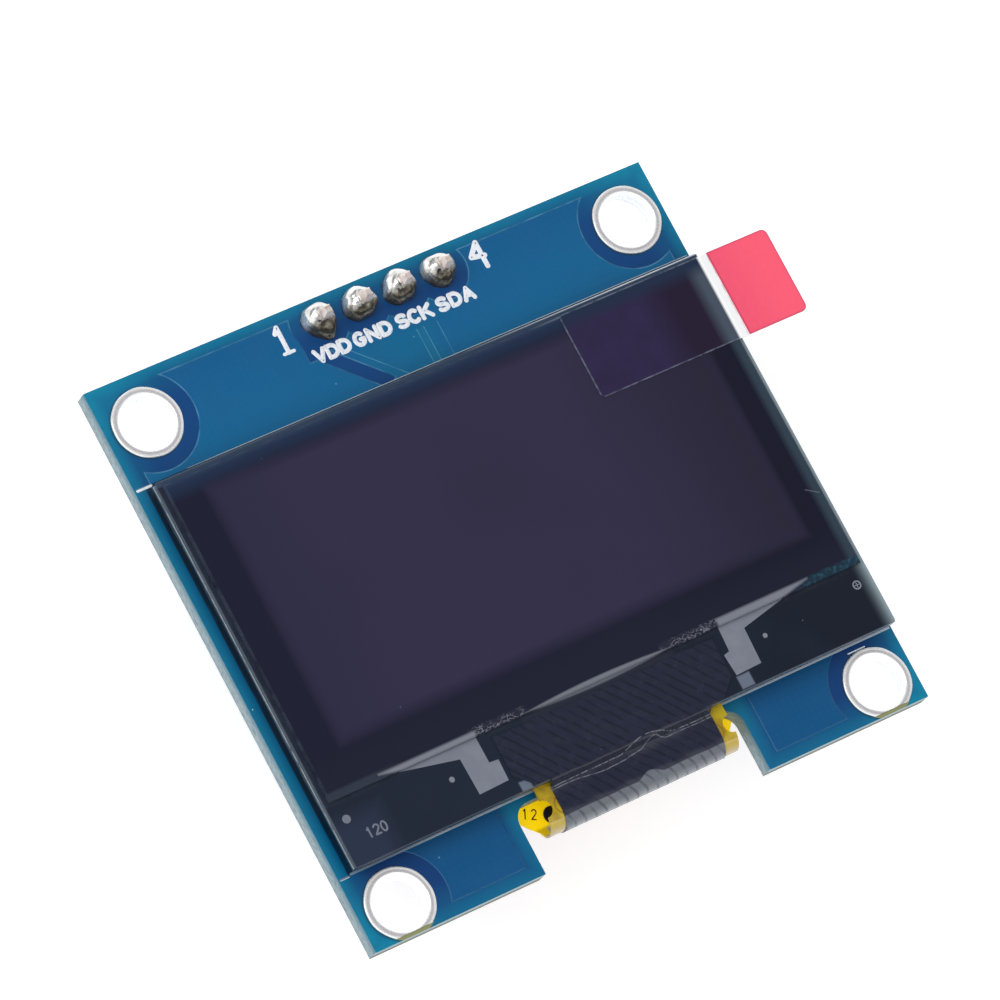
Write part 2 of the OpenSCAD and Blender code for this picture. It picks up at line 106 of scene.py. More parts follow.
# %% Arithmetic on sockets
class Field:
    """One number at each point of a finish, held by a socket."""

    def __init__(self, tree, socket):
        self.tree = tree
        self.socket = socket

    def do(self, operation, *others, clamp=False):
        """One Math node on this field and the others, which may be plain numbers."""
        node = self.tree.nodes.new("ShaderNodeMath")
        node.operation = operation
        node.use_clamp = clamp
        for entry, value in zip(node.inputs, (self, *others)):
            if isinstance(value, Field):
                self.tree.links.new(value.socket, entry)
            else:
                entry.default_value = value
        return Field(self.tree, node.outputs[0])

    __add__ = __radd__ = partialmethod(do, "ADD")
    __sub__ = partialmethod(do, "SUBTRACT")
    __rsub__ = partialmethod(do, "MULTIPLY_ADD", -1.0)
    __mul__ = __rmul__ = partialmethod(do, "MULTIPLY")
    __abs__ = partialmethod(do, "ABSOLUTE")
    low = partialmethod(do, "MINIMUM")
    high = partialmethod(do, "MAXIMUM")

    def inside(self, soft=0.02):
        """1 where the field is negative, 0 where it is positive, with a soft step of that width."""
        return self.do("MULTIPLY_ADD", -1 / soft, 0.5, clamp=True)

    def ramp(self, start, end):
        """0 at start and before, 1 at end and beyond."""
        return self.do("MULTIPLY_ADD", 1 / (end - start), -start / (end - start), clamp=True)

    def line(self, width, soft=0.02):
        """1 on the shape's outline, drawn that wide."""
        return (abs(self) - width / 2).inside(soft)

    def wave(self, period):
        """A sine from 0 to 1."""
        return (self * (tau / period)).do("SINE") * 0.5 + 0.5


def nearest(fields):
    """Several shapes as one: the lowest of their fields."""
    return reduce(Field.low, fields)


def paint(red, green, blue):
    """A colour given on the usual scale of 0 to 255, in the linear scale of the nodes."""
    shares = np.array([red, green, blue]) / 255
    linear = np.where(shares <= 0.04045, shares / 12.92, ((shares + 0.055) / 1.055) ** 2.4)
    return (*linear.tolist(), 1.0)


print("varnish blue is", [round(share, 3) for share in paint(34, 100, 150)[:3]])

# %% [markdown]
# The second class is one material. It hands out the three coordinates in millimetres, plain shapes and
# noise at a stated grain size, and it layers colours: a ground colour, then masks with their own.

# %% One finish
SEED_STEPS = (17.3, 5.1, 9.7)


class Finish:
    """A material whose patterns are measured in millimetres on the piece itself."""

    def __init__(self, name):
        self.material = bpy.data.materials.new(name)
        self.material.use_nodes = True
        self.tree = self.material.node_tree
        self.shader = self.tree.nodes["Principled BSDF"]
        scale = self.node("VectorMath", self.node("TexCoord").outputs["Object"])
        scale.operation = "SCALE"
        scale.inputs["Scale"].default_value = 1 / MM
        self.place = scale.outputs[0]
        split = self.node("SeparateXYZ", self.place)
        self.x, self.y, self.z = (Field(self.tree, socket) for socket in split.outputs)

    def node(self, kind, source=None):
        """A new node of that kind, its first entry linked to the source."""
        node = self.tree.nodes.new("ShaderNode" + kind)
        if source:
            self.tree.links.new(source, node.inputs[0])
        return node

    def link(self, field, entry):
        """The field drives that entry of the shader."""
        self.tree.links.new(field.socket, self.shader.inputs[entry])

    def spread(self, size, stretch, turn, seed):
        """The coordinates for a noise of that grain, stretched and turned about Z."""
        node = self.node("Mapping", self.place)
        node.inputs["Location"].default_value = [seed * step for step in SEED_STEPS]
        node.inputs["Rotation"].default_value = (0, 0, turn)
        node.inputs["Scale"].default_value = [1 / (size * share) for share in stretch]
        return node.outputs[0]

    def noise(self, size, detail, seed=0, stretch=(1, 1, 1), turn=0.0):
        """Cloudy values round 0.5, with grains of that size."""
        node = self.node("TexNoise", self.spread(size, stretch, turn, seed))
        node.inputs["Scale"].default_value = 1.0
        node.inputs["Detail"].default_value = detail
        return Field(self.tree, node.outputs[0])

    def specks(self, spacing, radius, seed, share):
        """Small round dots, one to a cell at most; share thins them out."""
        node = self.node("TexVoronoi", self.spread(spacing, (1, 1, 1), 0.0, seed))
        node.inputs["Scale"].default_value = 1.0
        lot = Field(self.tree, self.node("SeparateColor", node.outputs["Color"]).outputs[0])
        size = radius / spacing
        dot = (Field(self.tree, node.outputs["Distance"]) - size).inside(size * 0.6)
        return dot * (lot - share).inside(0.01)

    def disc(self, centre, radius):
        """Distance from a disc's rim."""
        across, up = self.x - centre[0], self.y - centre[1]
        return (across * across + up * up).do("SQRT") - radius

    def panel(self, left, right, bottom, top):
        """Distance from a rectangle's edge."""
        across = abs(self.x - (left + right) / 2) - (right - left) / 2
        return across.high(abs(self.y - (bottom + top) / 2) - (top - bottom) / 2)

    def side(self, point, angle):
        """Distance along that direction from a straight edge through the point."""
        c, s = cos(radians(angle)), sin(radians(angle))
        return self.x * c + self.y * s - (point[0] * c + point[1] * s)

    def band(self, start, end, width):
        """A straight strip of that width from start to end."""
        run = dist(start, end)
        middle = [(a + b) / 2 for a, b in zip(start, end)]
        turn = degrees(atan2(end[1] - start[1], end[0] - start[0]))
        along = abs(self.side(middle, turn)) - run / 2
        return along.high(abs(self.side(middle, turn + 90)) - width / 2)

    def colour(self, ground, *layers):
        """The ground colour with each (mask, colour) laid over it in turn."""
        socket = None
        for mask, shade in layers:
            node = self.node("Mix", mask.socket)
            node.data_type = "RGBA"
            node.inputs[6].default_value = paint(*ground)
            if socket:
                self.tree.links.new(socket, node.inputs[6])
            node.inputs[7].default_value = paint(*shade)
            socket = node.outputs[2]
        self.tree.links.new(socket, self.shader.inputs["Base Color"])

    def relief(self, height, depth):
        """Bump: a field of 1 stands that many millimetres proud."""
        node = self.node("Bump")
        node.inputs["Distance"].default_value = depth * MM
        self.tree.links.new(height.socket, node.inputs["Height"])
        self.tree.links.new(node.outputs[0], self.shader.inputs["Normal"])

    def gloss(self, rough, metal=0.0, level=0.5):
        """How rough, how metallic and how reflective the surface is."""
        if isinstance(rough, Field):
            self.link(rough, "Roughness")
        else:
            self.shader.inputs["Roughness"].default_value = rough
        self.shader.inputs["Metallic"].default_value = metal
        self.shader.inputs["Specular IOR Level"].default_value = level

    def glow(self, strength, shade=(255, 255, 255)):
        """A faint light of its own, where the strength is above 0."""
        self.shader.inputs["Emission Color"].default_value = paint(*shade)
        self.link(strength, "Emission Strength")

    def dress(self, *names):
        """Puts the finish on solids, whose meshes stay as they are."""
        for name in names:
            mesh = nodes[name].data
            mesh.materials.clear()
            mesh.materials.append(self.material)


# %% [markdown]
# ## Building surfaces
# Each new piece is a grid of points from one formula. A print stroke is an ellipse carried along a
# path, shrinking to a point at both ends, a sheet is a closed section carried along its fold, and a
# solder mound is a profile turned about the pin.

# %% Grids, strokes and slabs
WELD = 1e-7
CORNERS = ((-1, -1), (1, -1), (1, 1), (-1, 1))


def surface(grid, close_u=False, close_v=False):
    """Points and four-sided faces of a grid: neighbours along u and v are joined."""
    rows, columns = grid.shape[:2]
    index = np.arange(rows * columns).reshape(rows, columns)
    if close_u:
        index = np.vstack([index, index[:1]])
    if close_v:
        index = np.hstack([index, index[:, :1]])
    corners = (index[:-1, :-1], index[1:, :-1], index[1:, 1:], index[:-1, 1:])
    return grid.reshape(-1, 3), np.stack(corners, -1).reshape(-1, 4).tolist()


def stroke(path, width, height, z):
    """An ellipse carried along a flat path, its size falling to nothing over the round ends:
    size = sqrt(1 - d * d), where d is how far into the end cap a section is, from 0 to 1."""
    path = np.array(path, float)
    start = path[0] - path[1]
    finish = path[-1] - path[-2]
    cap = np.sin(np.linspace(0, pi / 2, 5))[1:]
    before = path[0] + np.outer(cap[::-1], start / np.linalg.norm(start)) * width / 2
    after = path[-1] + np.outer(cap, finish / np.linalg.norm(finish)) * width / 2
    size = np.concatenate([np.sqrt(1 - cap[::-1] ** 2), np.ones(len(path)), np.sqrt(1 - cap**2)])
    line = np.vstack([before, path, after])
    ahead = np.gradient(line, axis=0)
    ahead /= np.linalg.norm(ahead, axis=1)[:, None]
    turn = np.linspace(0, tau, 10, endpoint=False)
    across = np.outer(size * width / 2, np.cos(turn))
    grid = np.empty((len(line), len(turn), 3))
    grid[..., 0] = line[:, :1] - ahead[:, 1:] * across
    grid[..., 1] = line[:, 1:] + ahead[:, :1] * across
    grid[..., 2] = z + np.outer(size * height, np.sin(turn))
    return surface(grid, close_v=True)


def slab(outline, profile):
    """A closed form: the outline drawn at each step of a profile of (inset, z), with flat ends.
    A point moves inwards along the mean of its two neighbouring edges' normals."""
    outline = np.array(outline, float)
    before = outline - np.roll(outline, 1, axis=0)
    after = np.roll(outline, -1, axis=0) - outline
    before /= np.linalg.norm(before, axis=1)[:, None]
    after /= np.linalg.norm(after, axis=1)[:, None]
    normal = np.stack([-(before + after)[:, 1], (before + after)[:, 0]], -1)
    normal /= (1 + (before * after).sum(1))[:, None]
    count = len(outline)
    steps = [np.column_stack([outline + normal * inset, np.full(count, z)]) for inset, z in profile]
    points, faces = surface(np.stack(steps), close_v=True)
    faces.append(list(range(count)))
    faces.append(list(range(len(points) - count, len(points))))
    return points, faces


def put(name, data):
    """A new object in the scene."""
    made = bpy.data.objects.new(name, data)
    bpy.context.scene.collection.objects.link(made)
    return made


def piece(name, parts, finish, slot, *replaced, crease=35):
    """Makes one mesh of several (points, faces) in millimetres and hands it to the frame."""
    points, faces, start = [], [], 0
    for part_points, part_faces in parts:
        points.append(part_points)
        faces += [[corner + start for corner in face] for face in part_faces]
        start += len(part_points)
    mesh = bpy.data.meshes.new(name)
    mesh.from_pydata(np.vstack(points) * MM, [], faces)
    made = put(name, mesh)
    shaped = bmesh.new()
    shaped.from_mesh(mesh)
    bmesh.ops.remove_doubles(shaped, verts=shaped.verts, dist=WELD)
    bmesh.ops.dissolve_degenerate(shaped, edges=shaped.edges, dist=WELD)
    bmesh.ops.recalc_face_normals(shaped, faces=shaped.faces)
    shaped.to_mesh(mesh)
    shaped.free()
    mesh.shade_smooth()
    mesh.set_sharp_from_angle(angle=radians(crease))
    mesh.materials.append(finish.material)
    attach(made, "root")
    if replaced:
        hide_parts(*replaced)
    print(name, "faces:", len(mesh.polygons))
    return made


def rounded(low, high, radius, steps):
    """A rectangle's outline with round corners, anticlockwise from the lower left."""
    points = []
    for turn, (side_x, side_y) in enumerate(CORNERS):
        x = (high if side_x > 0 else low)[0] - side_x * radius
        y = (high if side_y > 0 else low)[1] - side_y * radius
        angles = pi + turn * pi / 2 + np.linspace(0, pi / 2, steps)
        points += [(x + radius * cos(angle), y + radius * sin(angle)) for angle in angles]
    return points


# %% [markdown]
# ## The board
# The board is woven glass and resin, 1.2 mm thick, with copper under a blue varnish. Over copper the
# varnish looks mid blue and stands a hair higher. Where the copper was etched away it is nearly navy,
# and close to a cut edge light gets in and turns it teal. Both faces share one recipe, and the cut
# sides show the bare fibre. The outer copper area comes first, less a ring round every hole and the
# gaps beside the traces.

# %% Varnished copper
FAR = 99  # beyond every part, in millimetres
KEEP_OUT = 2.85
PAD_GAP = 1.72
NOTCH_X, NOTCH_Y = 7.2, -12.4
NOTCH_GAP = 0.85
HAIR = 0.02
LINE = 0.07
LANES = (-9.0, -3.5, 3.2, 9.4)
LANE_W = 0.45

board = Finish("blue_board")
outline = board.panel(board_lo[0], board_hi[0], board_lo[1], board_hi[1])
notch = board.panel(-NOTCH_X, NOTCH_X, board_lo[1] - 9, NOTCH_Y)
back = board.z.ramp(0.1, 0.05)
front = 1 - back
gaps = [board.disc(centre, KEEP_OUT) for centre in land_at]
gaps += [board.disc(centre, PAD_GAP) for centre in pin_at]
gaps.append(board.band((-5.05, 17.2), (-5.05, 13.95), 0.7) + back * FAR)
gaps.append(board.band((-4.97, 14.55), (-1.62, 11.2), 0.8) + back * FAR)
for pin, lane in zip(pin_at, LANES):
    slant = board.band((pin[0], 14.0), (lane, 9.0), LANE_W)
    straight = board.band((lane, 9.2), (lane, -3.8), LANE_W)
    gaps.append(abs(slant.low(straight)) - 0.08 + front * FAR)
etched = board.panel(board_lo[0] + 1.0, board_hi[0] - 0.9, board_lo[1] + 0.75, board_hi[1] - 0.6)
etched = etched.high(NOTCH_GAP - notch).high(nearest(gaps) * -1)
hairs = [board.band((-2.95, 13.71), (-0.45, 11.25), HAIR)]
hairs += [board.band((across, 13.4), (across, 11.0), HAIR) for across in (1.05, 1.5, 2.35)]
copper = etched.inside(0.04)
broken = board.noise(0.9, 3, 2).ramp(0.36, 0.6) * 0.6 + 0.15
# A pale line along the copper edges; it is made brighter towards the top as a painted highlight, where
# light catches the raised edge.
edge_line = etched.line(LINE, 0.05) * broken * (board.y.ramp(-13.0, 6.0) * 0.86 + 0.14)
rim = outline.high(notch * -1)
near_edge = rim.ramp(-0.75, -0.12)
middle, half_size = (board_lo + board_hi) / 2, (board_hi - board_lo) / 2
corners = abs(board.x - middle[0]).ramp(half_size[0] - 4.2, half_size[0] - 1.2)
corners = corners * abs(board.y - middle[1]).ramp(half_size[1] - 3.6, half_size[1] - 0.9)
# Painted shadow: a soft dark ring round each tinned ring, shifted so that it falls on the left and
# lower side.
ring_shadow = nearest(board.disc((x - 0.07, y - 0.03), land_r + 0.05) for x, y in land_at)
# Painted shadow: the board is painted dark close round the glass, where the glass shades it.
glass_shadow = board.panel(glass_lo[0], glass_hi[0], -12.0, 11.31)
left_shade = board.panel(-17.18, -16.98, -12.0, 11.0)
mottle = board.noise(2.6, 4, 1)
weave = board.x.wave(0.42) * board.y.wave(0.38)
low_part = board.y.ramp(6.0, -11.0)
khaki = board.panel(-FAR, FAR, board_lo[1] - 1, board_lo[1] + 0.24)
strips = nearest(board.disc(centre, 2.02) for centre in land_at[2:]).high(khaki)
fray = board.specks(0.7, 0.035, 4, 0.15) * outline.ramp(-0.3, -0.2)
cut_side = (abs(board.z - top_z / 2) - (top_z / 2 - 0.006)).inside(0.004)
fibre = board.noise(0.16, 3, 3, stretch=(2, 2, 1))
low_wall = cut_side * board.y.ramp(board_lo[1] + 0.03, board_lo[1] + 0.01)
board.colour(
    (2, 66, 124),
    (low_part, (0, 57, 115)),
    (rim.ramp(-2.0, -0.5), (0, 84, 130)),
    (corners * 0.8, (0, 112, 150)),
    (near_edge * (board.y.ramp(-15.0, -12.0) * 0.5 + 0.5).high(corners), (0, 112, 150)),
    (near_edge * corners, (0, 126, 160)),
    (near_edge * board.noise(0.5, 4, 12).ramp(0.5, 0.75) * 0.4, (0, 96, 124)),
    (copper, (2, 88, 139)),
    (copper * board.y.ramp(16.5, 11.5), (5, 102, 151)),
    (copper * low_part, (1, 79, 129)),
    (copper * board.panel(-2.6, 2.0, 10.0, 13.6).inside(0.5) * 0.5, (4, 106, 146)),
    (copper * mottle.ramp(0.42, 0.7) * 0.3, (6, 84, 136)),
    (copper * weave * 0.035, (60, 130, 170)),
    (edge_line, (78, 146, 182)),
    (front * board.panel(1.05, 1.5, 11.0, 13.4).inside(0.1) * 0.45, (20, 112, 150)),
    (front * nearest(hairs).inside(0.06) * (broken * 0.8 + 0.3), (100, 170, 198)),
    (front * ring_shadow.inside(0.1) * 0.6, (16, 48, 54)),
    (front * glass_shadow.inside(0.05) * 0.8, (10, 28, 42)),
    (front * left_shade.inside(0.08) * mottle.ramp(0.3, 0.5) * 0.9, (10, 30, 46)),
    (front * left_shade.inside(0.04) * board.specks(0.4, 0.03, 8, 0.3) * 0.8, (190, 202, 210)),
    (board.specks(1.9, 0.05, 6, 0.5) * 0.5, (150, 180, 200)),
    (fray, (215, 224, 226)),
    (strips.inside(0.04), (142, 144, 102)),
    (cut_side, (140, 158, 166)),
    (cut_side * fibre.ramp(0.42, 0.66) * 0.8, (160, 176, 182)),
    (cut_side * fibre.ramp(0.46, 0.3) * 0.8, (112, 132, 142)),
    (cut_side * board.z.ramp(0.62, 1.25) * 0.85, (52, 116, 138)),
    (low_wall, (170, 188, 194)),
    (low_wall * board.z.ramp(0.78, 0.5), (122, 128, 118)),
)
board.relief(copper * 0.035 + mottle * 0.012 + cut_side * fibre * 0.03, 1.0)
board.gloss(mottle.ramp(0.3, 0.8) * 0.1 + 0.3 + cut_side * 0.4, level=0.4)
board.dress("pcb")

# %% [markdown]
# ## Print
# White ink is pulled through a screen: it stands a few hundredths of a millimetre proud, and its
# strokes have round ends and soft edges. The words beside the pins name supply, ground, clock and
# data, and the numbers count the pins.

# %% Ink and letters
ink = Finish("white_ink")
grain = ink.noise(0.16, 3, 1)
# The two thin lines beside the glass are print. Their dull grey-blue is painted shade from the glass,
# darker towards the left, and lighter towards the right and on the upper line.
thin_lines = ink.panel(-FAR, FAR, 11.28, 11.36).low(ink.panel(-FAR, FAR, -12.1, -11.88)).inside(0.02)
ink.colour(
    (236, 240, 246),
    (grain.ramp(0.5, 0.75), (205, 216, 232)),
    (thin_lines * (ink.noise(0.8, 3, 4) * 0.5 + 0.5), (112, 134, 154)),
    (thin_lines * ink.x.ramp(2.0, 13.0).high(ink.y.ramp(0.0, 1.0)) * 0.75, (178, 190, 202)),
    (thin_lines * ink.x.ramp(-11.5, -14.5) * 0.8, (96, 116, 136)),
)
ink.relief(grain, 0.01)
ink.gloss(0.55, level=0.3)


def arc(centre, radii, start, end, count=14):
    """Points of an ellipse's arc, angles in degrees."""
    turn = np.radians(np.linspace(start, end, count))
    return np.column_stack([centre[0] + radii[0] * np.cos(turn), centre[1] + radii[1] * np.sin(turn)])


GLYPHS = {
    "V": [[(0, 1), (0.5, 0)], [(0.5, 0), (1, 1)]],
    "D": [[(0, 0), (0, 1)], [(0, 1), *arc((0.35, 0.5), (0.65, 0.5), 90, -90), (0, 0)]],
    "G": [[*arc((0.5, 0.5), (0.5, 0.5), 50, 340, 20), (0.97, 0.45)], [(0.6, 0.45), (0.97, 0.45)]],
    "N": [[(0, 0), (0, 1)], [(0, 1), (1, 0)], [(1, 0), (1, 1)]],
    "S": [[*arc((0.5, 0.75), (0.45, 0.25), 30, 270, 12),
           *arc((0.5, 0.25), (0.48, 0.25), 90, -150, 12)]],
    "C": [arc((0.5, 0.5), (0.5, 0.5), 50, 310, 18)],
    "K": [[(0, 0), (0, 1)], [(0.95, 1), (0.1, 0.45)], [(0.35, 0.6), (1, 0)]],
    "A": [[(0, 0), (0.5, 1)], [(0.5, 1), (1, 0)], [(0.2, 0.35), (0.8, 0.35)]],
    "0": [arc((0.5, 0.5), (0.45, 0.5), 90, 446, 26)],
    "1": [[(0.5, 0), (0.5, 1)], [(0.5, 1), (0.22, 0.8)]],
    "2": [[*arc((0.5, 0.72), (0.45, 0.28), 160, -30, 12), (0.05, 0)], [(0.05, 0), (0.95, 0)]],
    "4": [[(0.88, 0), (0.85, 1)], [(0.85, 1), (-0.08, 0.52)], [(-0.08, 0.52), (1.08, 0.42)]],
}


def lettering(word, lower_left, width, height, pitch, thick, z, proud=0.03, up=(0, 1)):
    """Strokes of a word from its lower left corner; up is the direction that its letters stand in."""
    up = np.array(up, float) / np.linalg.norm(up)
    right = np.array([up[1], -up[0]])
    parts = []
    for place, letter in enumerate(word):
        for path in GLYPHS[letter]:
            along, rise = np.array(path, float).T
            flat = np.outer(along * width + place * pitch, right) + np.outer(rise * height, up)
            parts.append(stroke(np.array(lower_left) + flat, thick, proud, z))
    return parts


# %% What is printed on the front
WORDS = [  # word, corner, letter width and height, pitch, stroke
    ("VDD", (-4.93, 13.8), 0.56, 0.66, 0.76, 0.25),
    ("GND", (-2.46, 13.8), 0.56, 0.66, 0.82, 0.25),
    ("SCK", (0.25, 13.8), 0.56, 0.66, 0.76, 0.25),
    ("SDA", (2.83, 13.8), 0.56, 0.66, 0.82, 0.25),
    ("4", (5.98, 15.12), 0.68, 1.45, 0, 0.3),
    ("1", (-6.62, 14.97), 0.85, 1.5, 0, 0.28),
]
LINES = [  # left, right, y, width, height
    (-6.48, -5.87, 14.95, 0.2, 0.03),
    (board_lo[0] + 0.19, -16.8, 11.24, 0.18, 0.03),
    (board_lo[0] + 0.12, glass_lo[0] - 0.02, -12.06, 0.12, 0.03),
    (-14.5, board_hi[0] - 0.15, 11.32, 0.05, 0.01),
    (-17.0, board_hi[0] - 0.15, -11.99, 0.14, 0.01),
    (14.55, 15.63, -12.38, 0.07, 0.02),
]
print_parts = []
for word in WORDS:
    print_parts += lettering(*word, top_z)
for left, right, y, width, proud in LINES:
    print_parts.append(stroke([(left, y), (right, y)], width, proud, top_z))
piece("print_front", print_parts, ink, "board")

# %% [markdown]
# ## Tinned rings
# Each mounting hole is drilled, copper-plated and dipped in tin. The tin gathers into a soft double
# rim round the hole, so a revolved profile with two crests stands for the flat washer of the solid.
# The two lower rings run out at the board's edge, where the router cut them straight.

# %% Rings with a double rim
tin = Finish("bright_tin")
grain = tin.noise(0.35, 4, 3)
bore_r = land_r - 0.4
crest = lands[2][1][2]
from_bore = nearest(tin.disc(centre, bore_r) for centre in land_at)
# Painted light: the bore wall is painted near white and glows, standing for the bright table seen
# through the hole, and all the tin glows faintly.
glowing_wall = from_bore.ramp(0.035, 0.015)
tin.colour(
    (244, 245, 244),
    (grain.ramp(0.52, 0.75) * 0.4, (212, 214, 216)),
    ((abs(from_bore - 0.17) - 0.08).inside(0.06), (212, 208, 213)),
    (glowing_wall, (226, 232, 242)),
)
tin.relief(grain * (1 - glowing_wall), 0.003)
tin.gloss(grain.ramp(0.3, 0.8) * 0.18 + 0.2, metal=0.45)
tin.glow(glowing_wall * 0.3 + 0.04)

RIM = [  # distance from the bore, height above the land
    (0, -0.06), (0.03, -0.015), (0.08, 0.002), (0.16, -0.004), (0.23, -0.004), (0.28, 0.012),
    (0.32, 0.02), (0.37, 0), (land_r - bore_r, -0.05), (land_r - bore_r, -0.12),
]
profile = np.array([(bore_r, 0.5)] + [(bore_r + out, crest + rise) for out, rise in RIM])
profile = np.vstack([profile, np.column_stack([profile[::-1, 0], top_z - profile[::-1, 1]])])
turn = np.linspace(0, tau, 96, endpoint=False)
for count, (x, y) in enumerate(land_at, 1):
    wobble = 1 + 0.004 * np.sin(5 * turn + count) + 0.003 * np.sin(9 * turn + 2 * count)
    ring = np.empty((len(turn), len(profile), 3))
    ring[..., 0] = x + np.outer(np.cos(turn) * wobble, profile[:, 0])
    ring[..., 1] = y + np.outer(np.sin(turn) * wobble, profile[:, 0])
    ring[..., 1] = np.maximum(ring[..., 1], lands[2][0][1])
    ring[..., 2] = profile[:, 1]
    closed = surface(ring, True, True)
    piece(f"bore_land_{count}", [closed], tin, "tin", f"mount_land_{count}", crease=50)

# %% [markdown]
# ## Solder
# Hand-soldered pins sit in lumps of solder: a dome that wets the pad, climbs the pin and freezes with
# a few dents. The dome's profile is a quarter ellipse between the pin and the foot, the foot's radius
# wanders with the angle, and round swellings and dents are added to the height.

# %% Four mounds
solder = Finish("solder")
pin_y = pin_at[0][1]
grain = solder.noise(0.7, 2, 5)
# Painted light on the mounds: the pale ground colour is a painted highlight on the +Y side, the -Y side
# is painted in shade, darker and browner further towards -Y, and the dent beside each pin is painted
# nearly black as shade.
hollow = nearest(solder.disc((x - 0.32, pin_y - 0.3), 0.32) for x, _ in pin_at)
shaded_side = (solder.y + solder.noise(0.6, 2, 3) * 0.7).ramp(pin_y + 0.3, pin_y - 0.15)
mottled = solder.noise(0.22, 3, 11).ramp(0.36, 0.56)
grime = solder.z.ramp(top_z + 0.3, top_z + 0.02) * solder.noise(0.3, 3, 8).ramp(0.3, 0.55)
solder.colour(
    (232, 232, 230),
    (shaded_side, (124, 118, 104)),
    (grain.ramp(0.52, 0.7) * 0.6, (112, 110, 104)),
    (hollow.inside(0.24) * (mottled * 0.7 + 0.3), (26, 26, 26)),
    ((solder.y - pin_y).ramp(-0.1, -0.6) * mottled * 0.7, (70, 64, 50)),
    (grime, (74, 66, 48)),
)
solder.relief(grain + solder.noise(0.25, 2, 9) * 0.2, 0.07)
solder.gloss(grain.ramp(0.3, 0.8) * 0.14 + 0.14, metal=0.75)

MOUND_H = 1.12
CLIMB_H = 1.2
FOOT_R = 0.98
NECK_R = 0.34
LUMPS = [  # x, y, size, lift
    (-0.32, -0.28, 0.24, -0.26), (-0.1, 0.4, 0.3, 0.16),
    (0.1, -0.6, 0.3, 0.06), (0.45, -0.1, 0.2, -0.16),
]
jitter = np.random.default_rng(7)
turn = np.linspace(0, tau, 72, endpoint=False)[:, None]
rise = np.linspace(0, 1, 26)[None, :]
for count, (x, y) in enumerate(pin_at, 1):
    phase = jitter.uniform(0, tau, 4)
    waves = zip((0.04, 0.05, 0.02), (2, 3, 7), phase)
    foot = FOOT_R * (1 + sum(size * np.sin(lobes * turn + start) for size, lobes, start in waves))
    if count == 1:
        foot = foot * (1 + 0.14 * np.exp(-(((turn - 1.58 * pi) / 0.4) ** 2)))
    radius = NECK_R + (foot - NECK_R) * np.cos(rise * pi / 2) ** 0.85
    height = MOUND_H * np.sin(rise * pi / 2) ** 1.15
    height = height + (CLIMB_H - MOUND_H) * np.clip(rise * 4 - 3, 0, 1) ** 2
    across, up = radius * np.cos(turn), radius * np.sin(turn)
    for lump_x, lump_y, size, lift in LUMPS:
        shift = jitter.uniform(-0.1, 0.1, 2)
        apart = (across - lump_x - shift[0]) ** 2 + (up - lump_y - shift[1]) ** 2
        height = height + lift * np.sin(rise * pi) * np.exp(-apart / size**2)
    mound = np.stack([x - 0.04 + across, y + up, top_z - 0.01 + height], -1)
    ends = [np.tile((x, y, top_z + z), (len(mound), 1, 1)) for z in (-0.02, CLIMB_H - 0.05)]
    closed = surface(np.concatenate([ends[0], mound, ends[1]], 1), close_u=True)
    piece(f"solder_mound_{count}", [closed], solder, "tin", f"solder_joint_{count}", crease=60)

plated = Finish("plated_pin")
grain = plated.noise(0.3, 3, 2, stretch=(1, 1, 6))
plated.colour((236, 224, 218), (grain.ramp(0.45, 0.7) * 0.7, (172, 150, 138)))
plated.relief(grain, 0.008)
plated.gloss(grain.ramp(0.3, 0.8) * 0.2 + 0.2, metal=0.4)
plated.dress(*[f"header_pin_{count}" for count in range(1, 5)])

# %% [markdown]
# ## The display glass
# The front glass is longer than the sealed part below it, so a bare ledge sticks out under the panel.
# Its edges were scored and snapped, and a small chamfer catches the light there as a pale line. Under
# the ledge run grey conductor shapes, alignment dots and a count of plain figures.

# %% Glass with snapped edges
CHAMFER = 0.03
CORNER_R = 0.12


def lens(finish):
    """Pale lens-shaped gap under the film's lower edge: half its height is h * (1 - (x / r) ** 2)."""
    height, width = 0.2, 4.5
    shape = abs(finish.y - (polar_lo[1] + 0.06)) + finish.x * finish.x * (height / width**2)
    return (shape - height).inside(0.1)


glass = Finish("panel_glass")
glass_edge = glass.panel(glass_lo[0], glass_hi[0], glass_lo[1], glass_hi[1])
glass_wall = glass_edge.ramp(-0.02, -0.01)
streak = glass.noise(0.5, 4, 2, stretch=(6, 6, 0.3))
to_right = glass.x.ramp(2.0, 12.0)
